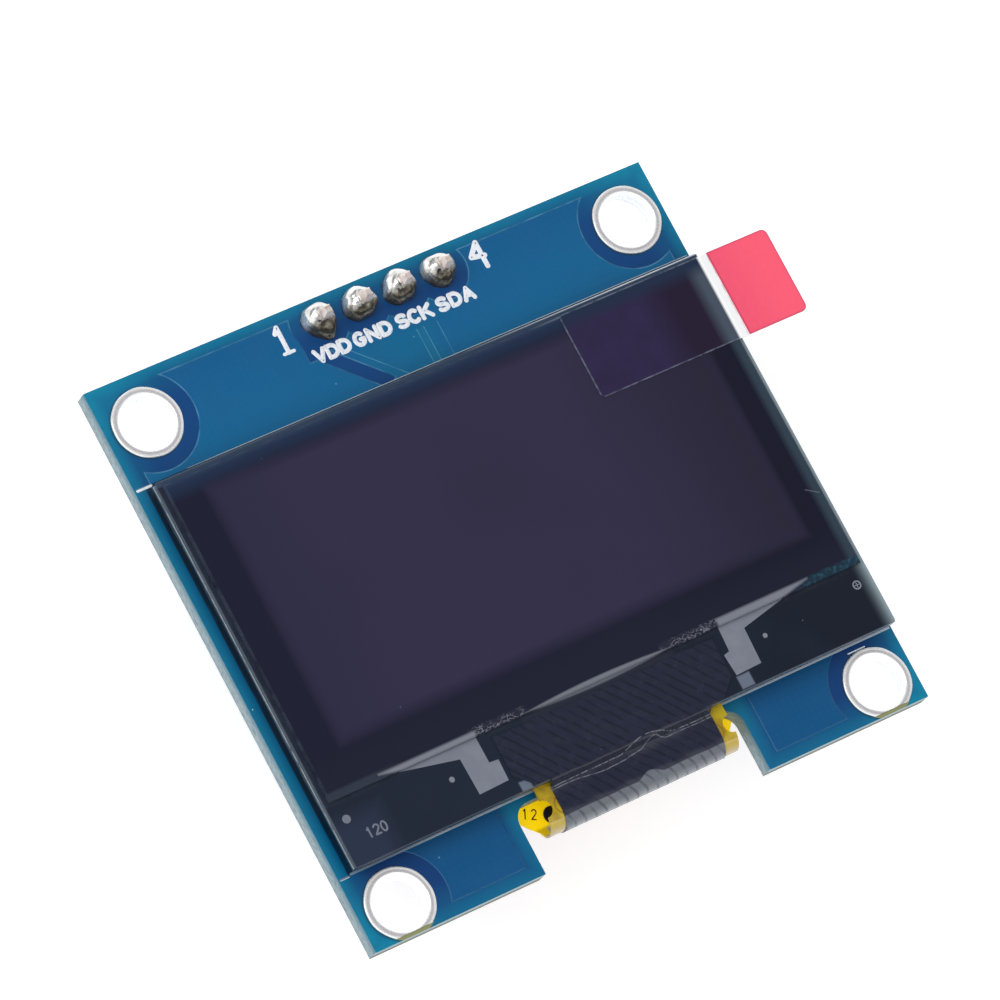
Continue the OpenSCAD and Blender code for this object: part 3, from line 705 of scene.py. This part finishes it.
# Painted light: towards its right end the clear glass is painted pale, for the bright backdrop seen
# through it.
to_end = (glass_hi[0] - glass.x).ramp(1.0, 0.08).do("POWER", 2.2)
above = glass.y.ramp(polar_hi[1] - 0.02, polar_hi[1])
below = glass.y.ramp(polar_lo[1] - 0.3, polar_lo[1] - 0.1)
lit_wall = (abs(glass.z - 2.24) - 0.06).inside(0.1)
lit_wall = lit_wall * glass.noise(0.6, 3, 7, stretch=(1, 1, 9)).ramp(0.25, 0.5)
patches = glass.panel(-6.75, -6.1, -12.05, -11.5).low(glass.panel(7.35, 8.15, -11.95, -11.2))
glass.colour(
    (22, 32, 49),
    (to_right, (12, 22, 38)),
    (glass.noise(3.5, 3, 6).ramp(0.45, 0.75) * 0.4, (26, 36, 54)),
    (below * glass.noise(0.7, 3, 8).ramp(0.35, 0.6) * 0.3, (50, 56, 72)),
    (glass.panel(-4.9, 4.7, -8.9, -8.3).inside(0.2), (34, 40, 56)),
    (lens(glass), (112, 117, 127)),
    (patches.inside(0.1) * 0.8, (112, 122, 140)),
    (glass.panel(-5.95, -5.0, -12.05, -11.75).inside(0.2) * 0.7, (84, 84, 82)),
    (to_end, (138, 154, 162)),
    (above, (50, 68, 92)),
    (glass.panel(-FAR, -14.5, -FAR, -9.5).inside(1.2) * 0.7, (40, 50, 74)),
    (glass_edge.ramp(-0.07, -0.02) * 0.35, (80, 88, 98)),
    # Painted highlight: a bright line along the top edge, stronger towards the right.
    (glass_edge.ramp(-0.1, -0.04) * above * glass.x.ramp(2.0, 12.0), (214, 222, 232)),
    (glass_wall, (52, 62, 74)),
    (glass_wall * lit_wall * (glass.y - glass_lo[1]).ramp(0.02, 0.1), (160, 168, 172)),
    (glass_wall * to_right * (glass_lo[1] - glass.y).ramp(-0.1, 0.0) * 0.7, (110, 122, 134)),
    (glass.specks(1.3, 0.035, 2, 0.5) * 0.8, (120, 126, 136)),
)
glass.relief(glass_edge.ramp(-0.15, 0.0) * streak, 0.01)
glass.gloss(streak * glass_wall * 0.4 + 0.07, level=0.5)
low_z, high_z = glass_lo[2], glass_hi[2]
steps = [(CHAMFER, low_z), (0, low_z + CHAMFER), (0, high_z - CHAMFER), (CHAMFER, high_z)]
glass_body = slab(rounded(glass_lo, glass_hi, CORNER_R, 4), steps)
piece("glass_slab", [glass_body], glass, "glass", "front_glass")

cap = Finish("cap_glass_edge")
cap_streak = cap.noise(0.5, 4, 4, stretch=(5, 5, 0.4))
# Painted shade: the dark ground colour stands for the shadow under the front glass, where this edge
# lies.
cap.colour(
    (30, 33, 42),
    (cap_streak.ramp(0.5, 0.66), (74, 80, 90)),
    (cap.specks(0.8, 0.07, 3, 0.35), (198, 202, 206)),
)
cap.relief(cap_streak, 0.02)
cap.gloss(0.18)
cap.dress("cap_glass")

# %% Marks under the ledge
mark = Finish("grey_conductor")
grain = mark.noise(0.8, 3, 2)
mark.colour(
    (118, 123, 136),
    (grain.ramp(0.4, 0.7) * 0.6, (130, 135, 146)),
    (mark.x.ramp(-14.0, -15.0) * 0.5, (96, 102, 118)),
)
mark.relief(grain, 0.002)
mark.gloss(0.3)

MARK_H = 0.006
LEFT_CORNER = (-9.08, -9.08)
RIGHT_CORNER = (9.13, -8.96)
mark_z = glass_hi[2]
ledge_top = polar_lo[1] - 0.01
shapes = [
    [(-12.5, ledge_top), LEFT_CORNER, (-9.02, -11.21), (-7.17, -11.15), (-7.14, -9.92),
     (-7.69, -9.87), (-7.71, ledge_top)],
    [(7.77, ledge_top), (7.69, -9.77), (7.31, -9.86), (7.41, -11.12), (9.05, -11.06),
     RIGHT_CORNER, (12.0, ledge_top)],
]
for centre, radius in (((-16.35, -9.47), 0.24), ((-10.03, -9.88), 0.16), ((10.02, -9.8), 0.14)):
    shapes.append(arc(centre, (radius, radius), 0, 345, 24))
mark_parts = [slab(shape, [(0, mark_z - 0.01), (0, mark_z + MARK_H)]) for shape in shapes]
ring_x, ring_y = 16.3, -9.37
mark_parts.append(stroke(arc((ring_x, ring_y), (0.22, 0.22), 0, 352, 26), 0.08, MARK_H, mark_z))
for path in ([(16.16, ring_y), (16.44, ring_y)], [(ring_x, -9.51), (ring_x, -9.23)]):
    mark_parts.append(stroke(path, 0.05, MARK_H, mark_z))
mark_parts += lettering("120", (-15.7, -10.87), 0.33, 0.53, 0.44, 0.1, mark_z, MARK_H)
piece("ledge_marks", mark_parts, mark, "glass")

# %% [markdown]
# ## Polariser and film
# The dark sheet over the glass is the polariser, and a clear film on top keeps it from scratches
# until the module is fitted. The film is far too thin to see by itself, so its finish carries what
# lies under it: a purple lit area, a nearly black frame round it and a bluish rim, with the cut edge
# as a thin pale line, a few hairline scratches and some dust.

# %% Panel seen through its film
def panel_colours(finish, low, high):
    """The dark display with its frame, as seen through a sheet from low to high."""
    edge = finish.panel(low[0], high[0], low[1], high[1])
    lit = finish.panel(-14.6, 14.8, -5.6, 9.5).inside(0.9)
    to_right = finish.x.ramp(2.0, 12.0)
    grain = finish.noise(0.8, 4, 9)
    # Painted light: near its right end the sheet is painted pale grey-blue, for the bright backdrop
    # seen through the clear glass.
    see_through = finish.x.ramp(high[0] - 0.72, high[0] - 0.3) * (finish.noise(1.2, 4, 4) * 0.4 + 0.8)
    hem = finish.panel(-FAR, FAR, low[1] - 1, low[1] + 0.4).inside(0.16)
    hem_end = hem * finish.x.ramp(12.5, 14.0)
    left_print = finish.panel(-13.7, -7.72, low[1] - 1, low[1] + 0.25)
    left_print = left_print.high(finish.side(LEFT_CORNER, 258.1))
    right_print = finish.panel(7.75, 13.72, low[1] - 1, low[1] + 0.37)
    right_print = right_print.high(finish.side(RIGHT_CORNER, -77.8))
    # Painted highlight: a bright line along the top edge, stronger towards the right.
    top_highlight = finish.y.ramp(high[1] - 0.1, high[1] - 0.05)
    wrinkles = (abs(finish.noise(0.3, 2, 8, stretch=(1, 0.6, 1)) - 0.5) - 0.03).inside(0.04)
    crumpled = finish.panel(-7.9, -4.6, -FAR, FAR).low(finish.panel(4.2, 8.0, -FAR, FAR)).inside(0.5)
    finish.colour(
        (17, 19, 43),
        (to_right, (11, 12, 36)),
        (finish.y.ramp(low[1] + 2.6, low[1] + 0.9) * 0.6, (23, 27, 46)),
        (finish.y.ramp(high[1] - 1.15, high[1] - 0.4), (22, 40, 68)),
        (finish.y.ramp(high[1] - 0.3, high[1]), (36, 54, 82)),
        (lit, (46, 41, 69)),
        # Painted shade: the lit area is darker towards its left and right ends.
        (lit * finish.x.ramp(-9.0, -15.0) * 0.7, (34, 34, 60)),
        (lit * finish.noise(9.0, 3, 2).ramp(0.35, 0.7) * 0.5, (40, 38, 62)),
        (lit * finish.x.ramp(6.5, 14.5) * 0.85, (31, 27, 49)),
        (see_through, (44, 60, 74)),
        (edge.ramp(-0.06, -0.02) * grain.ramp(0.3, 0.6) * 0.35, (80, 92, 108)),
        (top_highlight * finish.x.ramp(6.0, 14.0) * 0.8, (168, 178, 194)),
        (hem * finish.x.ramp(-12.0, -14.0) * 0.7, (50, 58, 72)),
        (hem * crumpled * 0.8, (34, 38, 54)),
        # Painted glints: pale lines along the wrinkles of the crumpled hem.
        (hem * crumpled * wrinkles * grain.ramp(0.46, 0.58), (118, 123, 132)),
        (hem_end * 0.8, (18, 46, 62)),
        (hem_end * finish.noise(0.25, 3, 12).ramp(0.5, 0.65) * 0.7, (40, 84, 106)),
        (left_print.low(right_print).inside(0.16), (120, 125, 136)),
        (lens(finish), (112, 117, 127)),
        (finish.band((16.15, -3.5), (16.86, -3.96), 0.05).inside(0.04) * 0.5, (120, 130, 142)),
        (finish.specks(2.6, 0.04, 5, 0.35) * 0.6, (100, 100, 120)),
    )
    finish.relief(finish.noise(5.0, 3, 7) + hem * grain * 0.4, 0.01)
    finish.gloss(grain.ramp(0.2, 0.9) * 0.06 + 0.1, level=0.5)


for node, name in (("polarizer", "polariser"), ("protective_film", "clear_film")):
    sheet = Finish(name)
    panel_colours(sheet, *reach(node))
    sheet.dress(node)

# %% [markdown]
# ## Pull tab
# A strip of clear tape holds a red grip beside the panel. Over the panel only its outline shows, as a
# broken pale line with round corners. Past the glass it turns milky, and the grip is matt red film
# with a slightly darker cut edge.

# %% Tape strip and red grip
def rounded_field(finish, left, right, bottom, top, radius):
    """Distance from a rectangle with round corners."""
    across = (abs(finish.x - (left + right) / 2) - ((right - left) / 2 - radius)).high(0.0)
    up = (abs(finish.y - (bottom + top) / 2) - ((top - bottom) / 2 - radius)).high(0.0)
    return (across * across + up * up).do("SQRT") - radius


strip = Finish("tab_strip")
strip_edge = rounded_field(strip, tab_lo[0], tab_hi[0], tab_lo[1], tab_hi[1], 0.12)
strip_break = strip.noise(0.5, 4, 3).ramp(0.38, 0.6)
pale_band = strip.band((17.42, tab_lo[1]), (17.42, tab_hi[1]), 0.3).inside(0.1)
crease = strip.band((17.62, tab_lo[1]), (17.66, tab_hi[1]), HAIR).inside(0.05)
past_glass = strip.x.ramp(glass_hi[0] - 0.35, glass_hi[0] - 0.2)
under_grip = strip.x.ramp(grip_lo[0] - 0.02, grip_lo[0] + 0.02)
strip.colour(
    (44, 35, 70),
    (strip.noise(1.4, 4, 1).ramp(0.4, 0.7) * 0.5, (36, 30, 62)),
    (strip.x.ramp(12.5, 14.5), (32, 22, 46)),
    # Painted light: the bright backdrop seen through the clear glass end, as on the film.
    (strip.x.ramp(15.9, 16.6), (68, 79, 94)),
    (strip.y.ramp(tab_hi[1] - 1.1, tab_hi[1] - 0.3) * (1 - past_glass), (28, 42, 68)),
    (strip_edge.ramp(-0.09, -0.03) * (strip_break * 0.45 + 0.15), (130, 138, 156)),
    (past_glass, (252, 253, 254)),
    # Painted shade: the crease and a faint band beside it are painted as grey lines of shade on the
    # white part.
    (past_glass * pale_band * 0.3, (226, 232, 236)),
    (past_glass * crease * strip_break, (120, 134, 138)),
    (under_grip, (236, 84, 114)),
)
strip.relief(strip.noise(1.1, 3, 5), 0.01)
strip.gloss(0.16, level=0.4)
strip.dress("pull_tab")

grip = Finish("red_grip")
grip_edge = rounded_field(grip, 2 * grip_lo[0] - grip_hi[0], grip_hi[0], grip_lo[1], grip_hi[1], 0.35)
grain = grip.noise(0.28, 4, 2)
grip.colour(
    (252, 92, 118),
    (grip.x.ramp(grip_lo[0] + 2.6, grip_lo[0] + 0.4) * 0.6, (236, 80, 112)),
    (grain.ramp(0.5, 0.8) * 0.2, (255, 122, 142)),
    (grip_edge.ramp(-0.12, -0.02) * 0.7, (196, 72, 100)),
    (grip.x.ramp(grip_lo[0] + 0.12, grip_lo[0] + 0.03) * 0.7, (186, 62, 96)),
)
grip.relief(grain, 0.012)
grip.gloss(0.5, level=0.3)
grip.dress("pull_tab_grip")

# %% [markdown]
# ## Shielding tape
# Thin metal-look tape covers the chip on the ledge, steps down off the glass and follows
# the film cable round its fold. It is one sheet: its section is a path in the YZ plane, and the
# width changes along it. The outer face is lifted a little along two creases where it leaves the
# glass, and its cut end wavers.

# %% One sheet round the fold
def shell(top, under):
    """A closed sheet between two grids of the same shape, joined along all four borders."""
    borders = [(top[0], under[0]), (under[-1], top[-1])]
    borders += [(under[:, 0], top[:, 0]), (top[:, -1], under[:, -1])]
    return [surface(top), surface(under[:, ::-1])] + [surface(np.stack(pair)) for pair in borders]


TAPE_T = 0.06
TAPE_TAIL = (-5.0, 5.2)
STEP_RUN = 0.3
STEP_DOWN = 0.6
FLARE = 0.35
CREASE_GAP = 0.34
bend_r = (tape_hi[2] - STEP_DOWN - tape_lo[2]) / 2
bend_at = (tape_lo[1] + bend_r, tape_lo[2] + bend_r)
patch_z, tail_z = tape_hi[2], bend_at[1] + bend_r
chamfer_y = glass_lo[1] + 1.0
# Each station gives y, z, the outward direction in y and z, then the left and the right edge.
stations = [(y, patch_z, 0, 1, tape_lo[0], tape_hi[0]) for y in np.linspace(tape_hi[1], chamfer_y, 26)]
for share in np.linspace(0, 1, 8)[1:]:
    stations.append((chamfer_y - 0.92 * share, patch_z, 0, 1, tape_lo[0] + share, tape_hi[0] - share))
stations.append((glass_lo[1] + 0.04, patch_z, 0, 1, *TAPE_TAIL))
for share in np.linspace(0, 1, 10):
    z = patch_z + (tail_z - patch_z) * share * share * (3 - 2 * share)
    y = glass_lo[1] - 0.02 - STEP_RUN * share
    stations.append((y, z, -1.6 * share * (1 - share), 1, *TAPE_TAIL))
stations.append((bend_at[0] + 0.3, tail_z, 0, 1, *TAPE_TAIL))
for place, out in enumerate(arc((0, 0), (1, 1), 90, 270, 28)):
    spread = FLARE * min(max((place - 18) / 6, 0), 1)
    stations.append((*(bend_at + bend_r * out), *out, TAPE_TAIL[0] - spread, TAPE_TAIL[1] + spread))
for past in (0.1, 0.5, 1.0):
    stations.append((bend_at[0] + past, tape_lo[2], 0, -1, TAPE_TAIL[0] - FLARE, TAPE_TAIL[1] + FLARE))
stations = np.array(stations)
share = np.linspace(0, 1, 90)[None, :]
tape_x = stations[:, 4:5] + (stations[:, 5:6] - stations[:, 4:5]) * share
tape_y = stations[:, :1] + 0 * share
waver = 0.07 * np.sin(tape_x * 2.1 + 0.6) + 0.05 * np.sin(tape_x * 4.7) + 0.02 * np.sin(tape_x * 11)
tape_y = tape_y - np.clip(waver * 0.4 + 0.05, 0, 1) * np.clip((tape_y - chamfer_y - 1.4) * 1.2, 0, 1)
crease_y = glass_lo[1] + 0.02 + 0.11 * np.sin(tape_x * 0.9 + 0.4) + 0.05 * np.sin(tape_x * 2.9)
from_crease = tape_y - crease_y
lift = 0.03 * np.exp(-((from_crease / 0.12) ** 2))
lift = lift + 0.025 * np.exp(-(((from_crease + CREASE_GAP) / 0.14) ** 2))
lift = (lift + 0.012 * (1 + np.sin(tape_x * 3.1 + tape_y * 5.3))) * (stations[:, 1:2] > 1.0)
normal = stations[:, 2:4] / np.linalg.norm(stations[:, 2:4], axis=1)[:, None]
tape_z = stations[:, 1:2] + 0 * share
outer = np.stack([tape_x, tape_y + normal[:, :1] * lift, tape_z + normal[:, 1:2] * lift], -1)
inner = np.stack([tape_x, tape_y - normal[:, :1] * TAPE_T, tape_z - normal[:, 1:2] * TAPE_T], -1)
outer[..., 2] = np.minimum(outer[..., 2], patch_z + 0.06)

RIB_TURN = 39
UPPER_Y, LOWER_Y, FOLD_Y = -12.36, -12.5, -14.02
tape = Finish("shield_tape")
grain = tape.noise(0.5, 4, 2)
rib = (tape.side((0, 0), RIB_TURN) + tape.noise(3.0, 2, 6) * 0.35).wave(0.5).ramp(0.72, 0.98)
breaks = tape.noise(0.9, 2, 4, stretch=(0.6, 3.0, 1), turn=-radians(RIB_TURN))
rib = rib * breaks.ramp(0.3, 0.5)
step = (tape.y - (glass_lo[1] - 0.12)).line(0.24, 0.1) * tape.z.ramp(1.9, 2.0)


def bump(across, at, width):
    """A bump of height 1 along X: (1 - d * d) squared, d from 0 at its middle to 1 at its foot."""
    share = (across - at) * (1 / width)
    rise = (1 - share * share).high(0.0)
    return rise * rise


wobble_y = tape.y + tape.noise(1.2, 3, 5, stretch=(1, 9, 9)) * 0.12 - 0.06
upper = wobble_y - bump(tape.x, 1.1, 1.9) * 0.4 - UPPER_Y
lower = wobble_y - bump(tape.x, 1.5, 0.9) * 0.34 + bump(tape.x, -1.4, 2.6) * 0.22 - LOWER_Y
dashes = tape.noise(0.35, 2, 9, stretch=(1, 9, 9)).ramp(0.44, 0.54)
# Painted highlights: broken pale lines along the crests of the two creases.
crease_glint = lower.line(0.03, 0.04) * (dashes * 0.6 + 0.3)
crease_glint = crease_glint.high(upper.line(0.03, 0.04) * dashes * 0.9) * tape.z.ramp(1.9, 2.0)
# Painted light: the tape is paler where it rounds the fold, palest lower down.
on_fold = (wobble_y - bump(tape.x, 0.55, 0.9) * 0.3 - FOLD_Y).inside(0.04) * tape.z.ramp(0.1, 0.5)
tape.colour(
    (31, 36, 55),
    (rib * 0.55, (10, 12, 28)),
    (grain.ramp(0.5, 0.75) * 0.3, (42, 47, 68)),
    (step * 0.4, (38, 44, 54)),
    (tape.specks(1.1, 0.03, 3, 0.5) * 0.6, (120, 126, 140)),
    (crease_glint * 0.8, (160, 166, 176)),
    (on_fold, (98, 104, 113)),
    (on_fold * tape.z.ramp(1.75, 1.2), (136, 142, 150)),
    (on_fold * rib * 0.7, (50, 56, 68)),
)
tape.relief(grain * 0.4 - rib, 0.003)
tape.gloss(grain.ramp(0.3, 0.8) * 0.12 + 0.2, level=0.4)
piece("tape_sheet", shell(outer, inner), tape, "tape", "shield_tape", crease=60)

# %% [markdown]
# ## Film cable
# The cable is amber plastic film with copper inside. Where it is folded back only its colour tells the
# layers apart: deep amber in the shade of the glass, pale where the light falls on the fold, bright
# yellow on the layer behind. On the back its contacts are soldered to the board, and the covered
# traces show through as darker stripes.

# %% Amber film
EYES = ((-4.75, -13.4), (4.95, -13.4))
EYE_R = 0.5

flex = Finish("amber_film")
grain = flex.noise(0.7, 4, 3)
near_layer = flex.z.ramp(1.80, 1.88)
right_of_wing = flex.x.ramp(-5.5, -5.42).high(flex.z.ramp(0.35, 0.5))
folded = flex.z.ramp(0.03, 0.12) * (1 - near_layer) * right_of_wing
under_face = flex.z.ramp(-0.06, -0.09)
traces = flex.x.wave(0.65).ramp(0.35, 0.65)
eyes = nearest(flex.disc(centre, EYE_R) for centre in EYES)
flex.colour(
    (254, 218, 20),
    (grain.ramp(0.45, 0.75) * 0.3, (250, 206, 16)),
    (near_layer, (186, 162, 26)),
    (near_layer * grain.ramp(0.4, 0.6) * 0.7, (150, 116, 26)),
    (folded, (198, 182, 156)),
    (folded * flex.z.ramp(1.1, 1.7), (190, 166, 70)),
    (under_face, (226, 152, 22)),
    (under_face * traces * 0.8, (176, 100, 20)),
    (eyes.line(0.1, 0.06) * 0.6, (120, 86, 20)),
)
flex.relief(under_face * traces + grain * 0.4, 0.012)
flex.gloss(grain.ramp(0.3, 0.8) * 0.14 + 0.2, level=0.5)
# Painted light: the layer behind glows yellow, standing for the table's light that comes through the
# film.
flex.glow(flex.z.ramp(0.08, 0.02) * flex.z.ramp(-0.06, -0.02) * 0.45, (255, 214, 10))
flex.dress("flex_cable")

brown = Finish("brown_print")
grain = brown.noise(0.15, 3, 2)
brown.colour((88, 54, 16), (grain.ramp(0.45, 0.7), (120, 78, 24)))
brown.relief(grain, 0.004)
brown.gloss(0.5, level=0.3)
figures = lettering("12", (-6.37, -12.96), 0.27, 0.55, 0.49, 0.07, 0.0, 0.01, up=(1, 2))
piece("flex_figures", figures, brown, "flex")

# %% [markdown]
# ## Layers inside and under the panel
# Between the board and the glass lie an adhesive sheet, the hollow cap glass with its drying sheet, the
# lit layer, a seal and the driver chip. Little of them shows, yet each gets its own finish.

# %% Hidden layers
def plain_finish(name, ground, second, grain, rough, depth=0.01, metal=0.0):
    """A quiet two-tone finish: a ground colour, a cloudy second one, and a matching relief."""
    finish = Finish(name)
    cloud = finish.noise(grain, 4, 2)
    finish.colour(ground, (cloud.ramp(0.42, 0.66), second))
    finish.relief(cloud, depth)
    finish.gloss(cloud.ramp(0.2, 0.9) * 0.12 + rough, metal=metal, level=0.4)
    return finish


for node, *recipe in (
    ("panel_adhesive", "adhesive_sheet", (26, 27, 31), (58, 60, 66), 0.6, 0.6),
    ("desiccant_sheet", "drying_sheet", (226, 224, 216), (204, 201, 190), 0.4, 0.7),
    ("edge_seal", "edge_seal", (170, 160, 104), (142, 134, 90), 0.5, 0.3),
    ("emitter_layer", "lit_layer", (52, 40, 78), (66, 52, 96), 0.3, 0.2),
    ("driver_die", "driver_chip", (58, 62, 70), (84, 88, 98), 0.25, 0.2),
):
    plain_finish(*recipe).dress(node)

housing = Finish("black_housing")
grain = housing.noise(0.14, 3, 2)
housing.colour(
    (20, 20, 22),
    (grain.ramp(0.5, 0.8), (34, 34, 37)),
    (housing.x.wave(2.54).ramp(0.97, 1.0) * 0.3, (52, 52, 56)),
)
housing.relief(grain, 0.02)
housing.gloss(0.42, level=0.4)
housing.dress("header_housing")

# %% [markdown]
# ## Small parts on the back
# The hidden face has seven ceramic capacitors, six resistors and a small regulator. A chip's ends are
# dipped in tin, so its finish changes with the distance from its middle along Y. Machine-soldered
# joints are smooth and bright.

# %% Chips with tinned ends
def dress_chips(node, count, name, body, second):
    """Dresses a row of chips that lie across one line of Y."""
    low, high = reach(node + "_1")
    finish = Finish(name)
    cloud = finish.noise(0.22, 3, 4)
    ends = abs(finish.y - (low[1] + high[1]) / 2).ramp(0.49, 0.52)
    finish.colour(
        body,
        (cloud.ramp(0.45, 0.7), second),
        (ends, (206, 206, 204)),
        (ends * cloud.ramp(0.45, 0.7) * 0.6, (164, 166, 170)),
    )
    finish.relief(cloud + ends * 0.5, 0.02)
    finish.gloss(0.42 - ends * 0.2, level=0.4)
    finish.link(ends, "Metallic")
    finish.dress(*[f"{node}_{place}" for place in range(1, count + 1)])


dress_chips("capacitor", 7, "ceramic_tan", (176, 146, 108), (158, 128, 92))
dress_chips("resistor", 6, "resistor_black", (22, 22, 26), (38, 38, 44))
plain_finish("regulator_black", (24, 24, 26), (42, 42, 45), 0.2, 0.45).dress("regulator_body")
machine_solder = plain_finish("machine_solder", (198, 200, 202), (168, 170, 174), 0.3, 0.2, 0.02, 1.0)
machine_solder.dress("regulator_leads", "chip_solder", "flex_solder")

# %% [markdown]
# ## Light, floor and camera
# The set is a white table in a white tent. The world is the tent: bright all round, with one dim
# opening overhead and two low at the sides, because polished metal and dark glass need something
# dark to reflect. The table glows a little towards the camera, so it reads as white and still keeps
# the soft shadow. The camera is long and far away, and rolled.

# %% White tent
DIM_PLACES = [  # direction, where it starts and where it is full, strength
    ((0.41, 0.17, 0.9), 0.80, 0.93, 0.26),
    ((-0.5, 0.75, 0.42), 0.82, 0.97, 0.15),
    ((0.85, -0.45, 0.3), 0.88, 0.98, 0.2),
]
TENT = 1.16
world = bpy.data.worlds.new("tent")
bpy.context.scene.world = world
world.use_nodes = True
tree = world.node_tree
backdrop = tree.nodes["Background"]
direction = tree.nodes.new("ShaderNodeTexCoord")
dims = []
for aim, outside, inside, dim in DIM_PLACES:
    dot = tree.nodes.new("ShaderNodeVectorMath")
    dot.operation = "DOT_PRODUCT"
    tree.links.new(direction.outputs["Generated"], dot.inputs[0])
    dot.inputs[1].default_value = Vector(aim).normalized()
    dims.append(Field(tree, dot.outputs["Value"]).ramp(outside, inside) * (dim - TENT) + TENT)
seen = Field(tree, tree.nodes.new("ShaderNodeLightPath").outputs["Is Camera Ray"])
level = nearest(dims).high(seen * 3.0).low(TENT)
tree.links.new(level.socket, backdrop.inputs["Strength"])
backdrop.inputs["Color"].default_value = (1, 1, 1, 1)

# %% White table
TABLE_SIZE = 3.0
TABLE_GLOW = 0.45
GAP_BELOW = 0.00002
table_mesh = bpy.data.meshes.new("table")
table_z = cad_box[0][2] - GAP_BELOW
corners = [(x * TABLE_SIZE / 2, y * TABLE_SIZE / 2, table_z) for x, y in CORNERS]
table_mesh.from_pydata(corners, [], [(0, 1, 2, 3)])
table = put("table", table_mesh)
cloth = Finish("white_table")
cloth.colour((240, 240, 240), (cloth.noise(30.0, 2).ramp(0.4, 0.6) * 0.5, (244, 244, 244)))
cloth.gloss(0.9, level=0.1)
path = cloth.node("LightPath")
rays = ("Camera", "Glossy", "Transmission")
seen_by = [Field(cloth.tree, path.outputs[f"Is {ray} Ray"]) for ray in rays]
cloth.glow(reduce(Field.high, seen_by) * TABLE_GLOW)
table_mesh.materials.append(cloth.material)

# %% One soft lamp
LAMP_POWER = 0.35
LAMP_SIZE = 0.16
LAMP_AT = (-0.22, 0.12, 0.26)
lamp_data = bpy.data.lights.new("soft_lamp", "AREA")
lamp_data.energy = LAMP_POWER
lamp_data.size = LAMP_SIZE
lamp = put("soft_lamp", lamp_data)
lamp.location = LAMP_AT
lamp.rotation_euler = (-lamp.location).to_track_quat("-Z", "Y").to_euler()

# %% Long lens from the left
AZIMUTH, ELEVATION, ROLL = -67.457, 63.606, 41.497
DISTANCE = 0.38232
LENS, SENSOR = 257.37, 36
AIM = Vector((0.000646, 0.00302, 0.0012))
azimuth, elevation, roll = (radians(angle) for angle in (AZIMUTH, ELEVATION, ROLL))
flat = cos(elevation)
back = Vector((sin(azimuth) * flat, -cos(azimuth) * flat, sin(elevation)))
level_right = Vector((0, 0, 1)).cross(back).normalized()
level_up = back.cross(level_right)
right = level_right * cos(roll) + level_up * sin(roll)
up = back.cross(right)
camera_data = bpy.data.cameras.new("camera")
camera_data.lens = LENS
camera_data.sensor_width = SENSOR
camera_data.clip_start, camera_data.clip_end = 0.01, 10
camera = put("camera", camera_data)
turned = Matrix((right, up, back)).transposed().to_4x4()
camera.matrix_world = Matrix.Translation(AIM + back * DISTANCE) @ turned
bpy.context.scene.camera = camera
bpy.context.scene.view_settings.view_transform = "Standard"
print("camera at", [round(share / MM, 1) for share in camera.location])
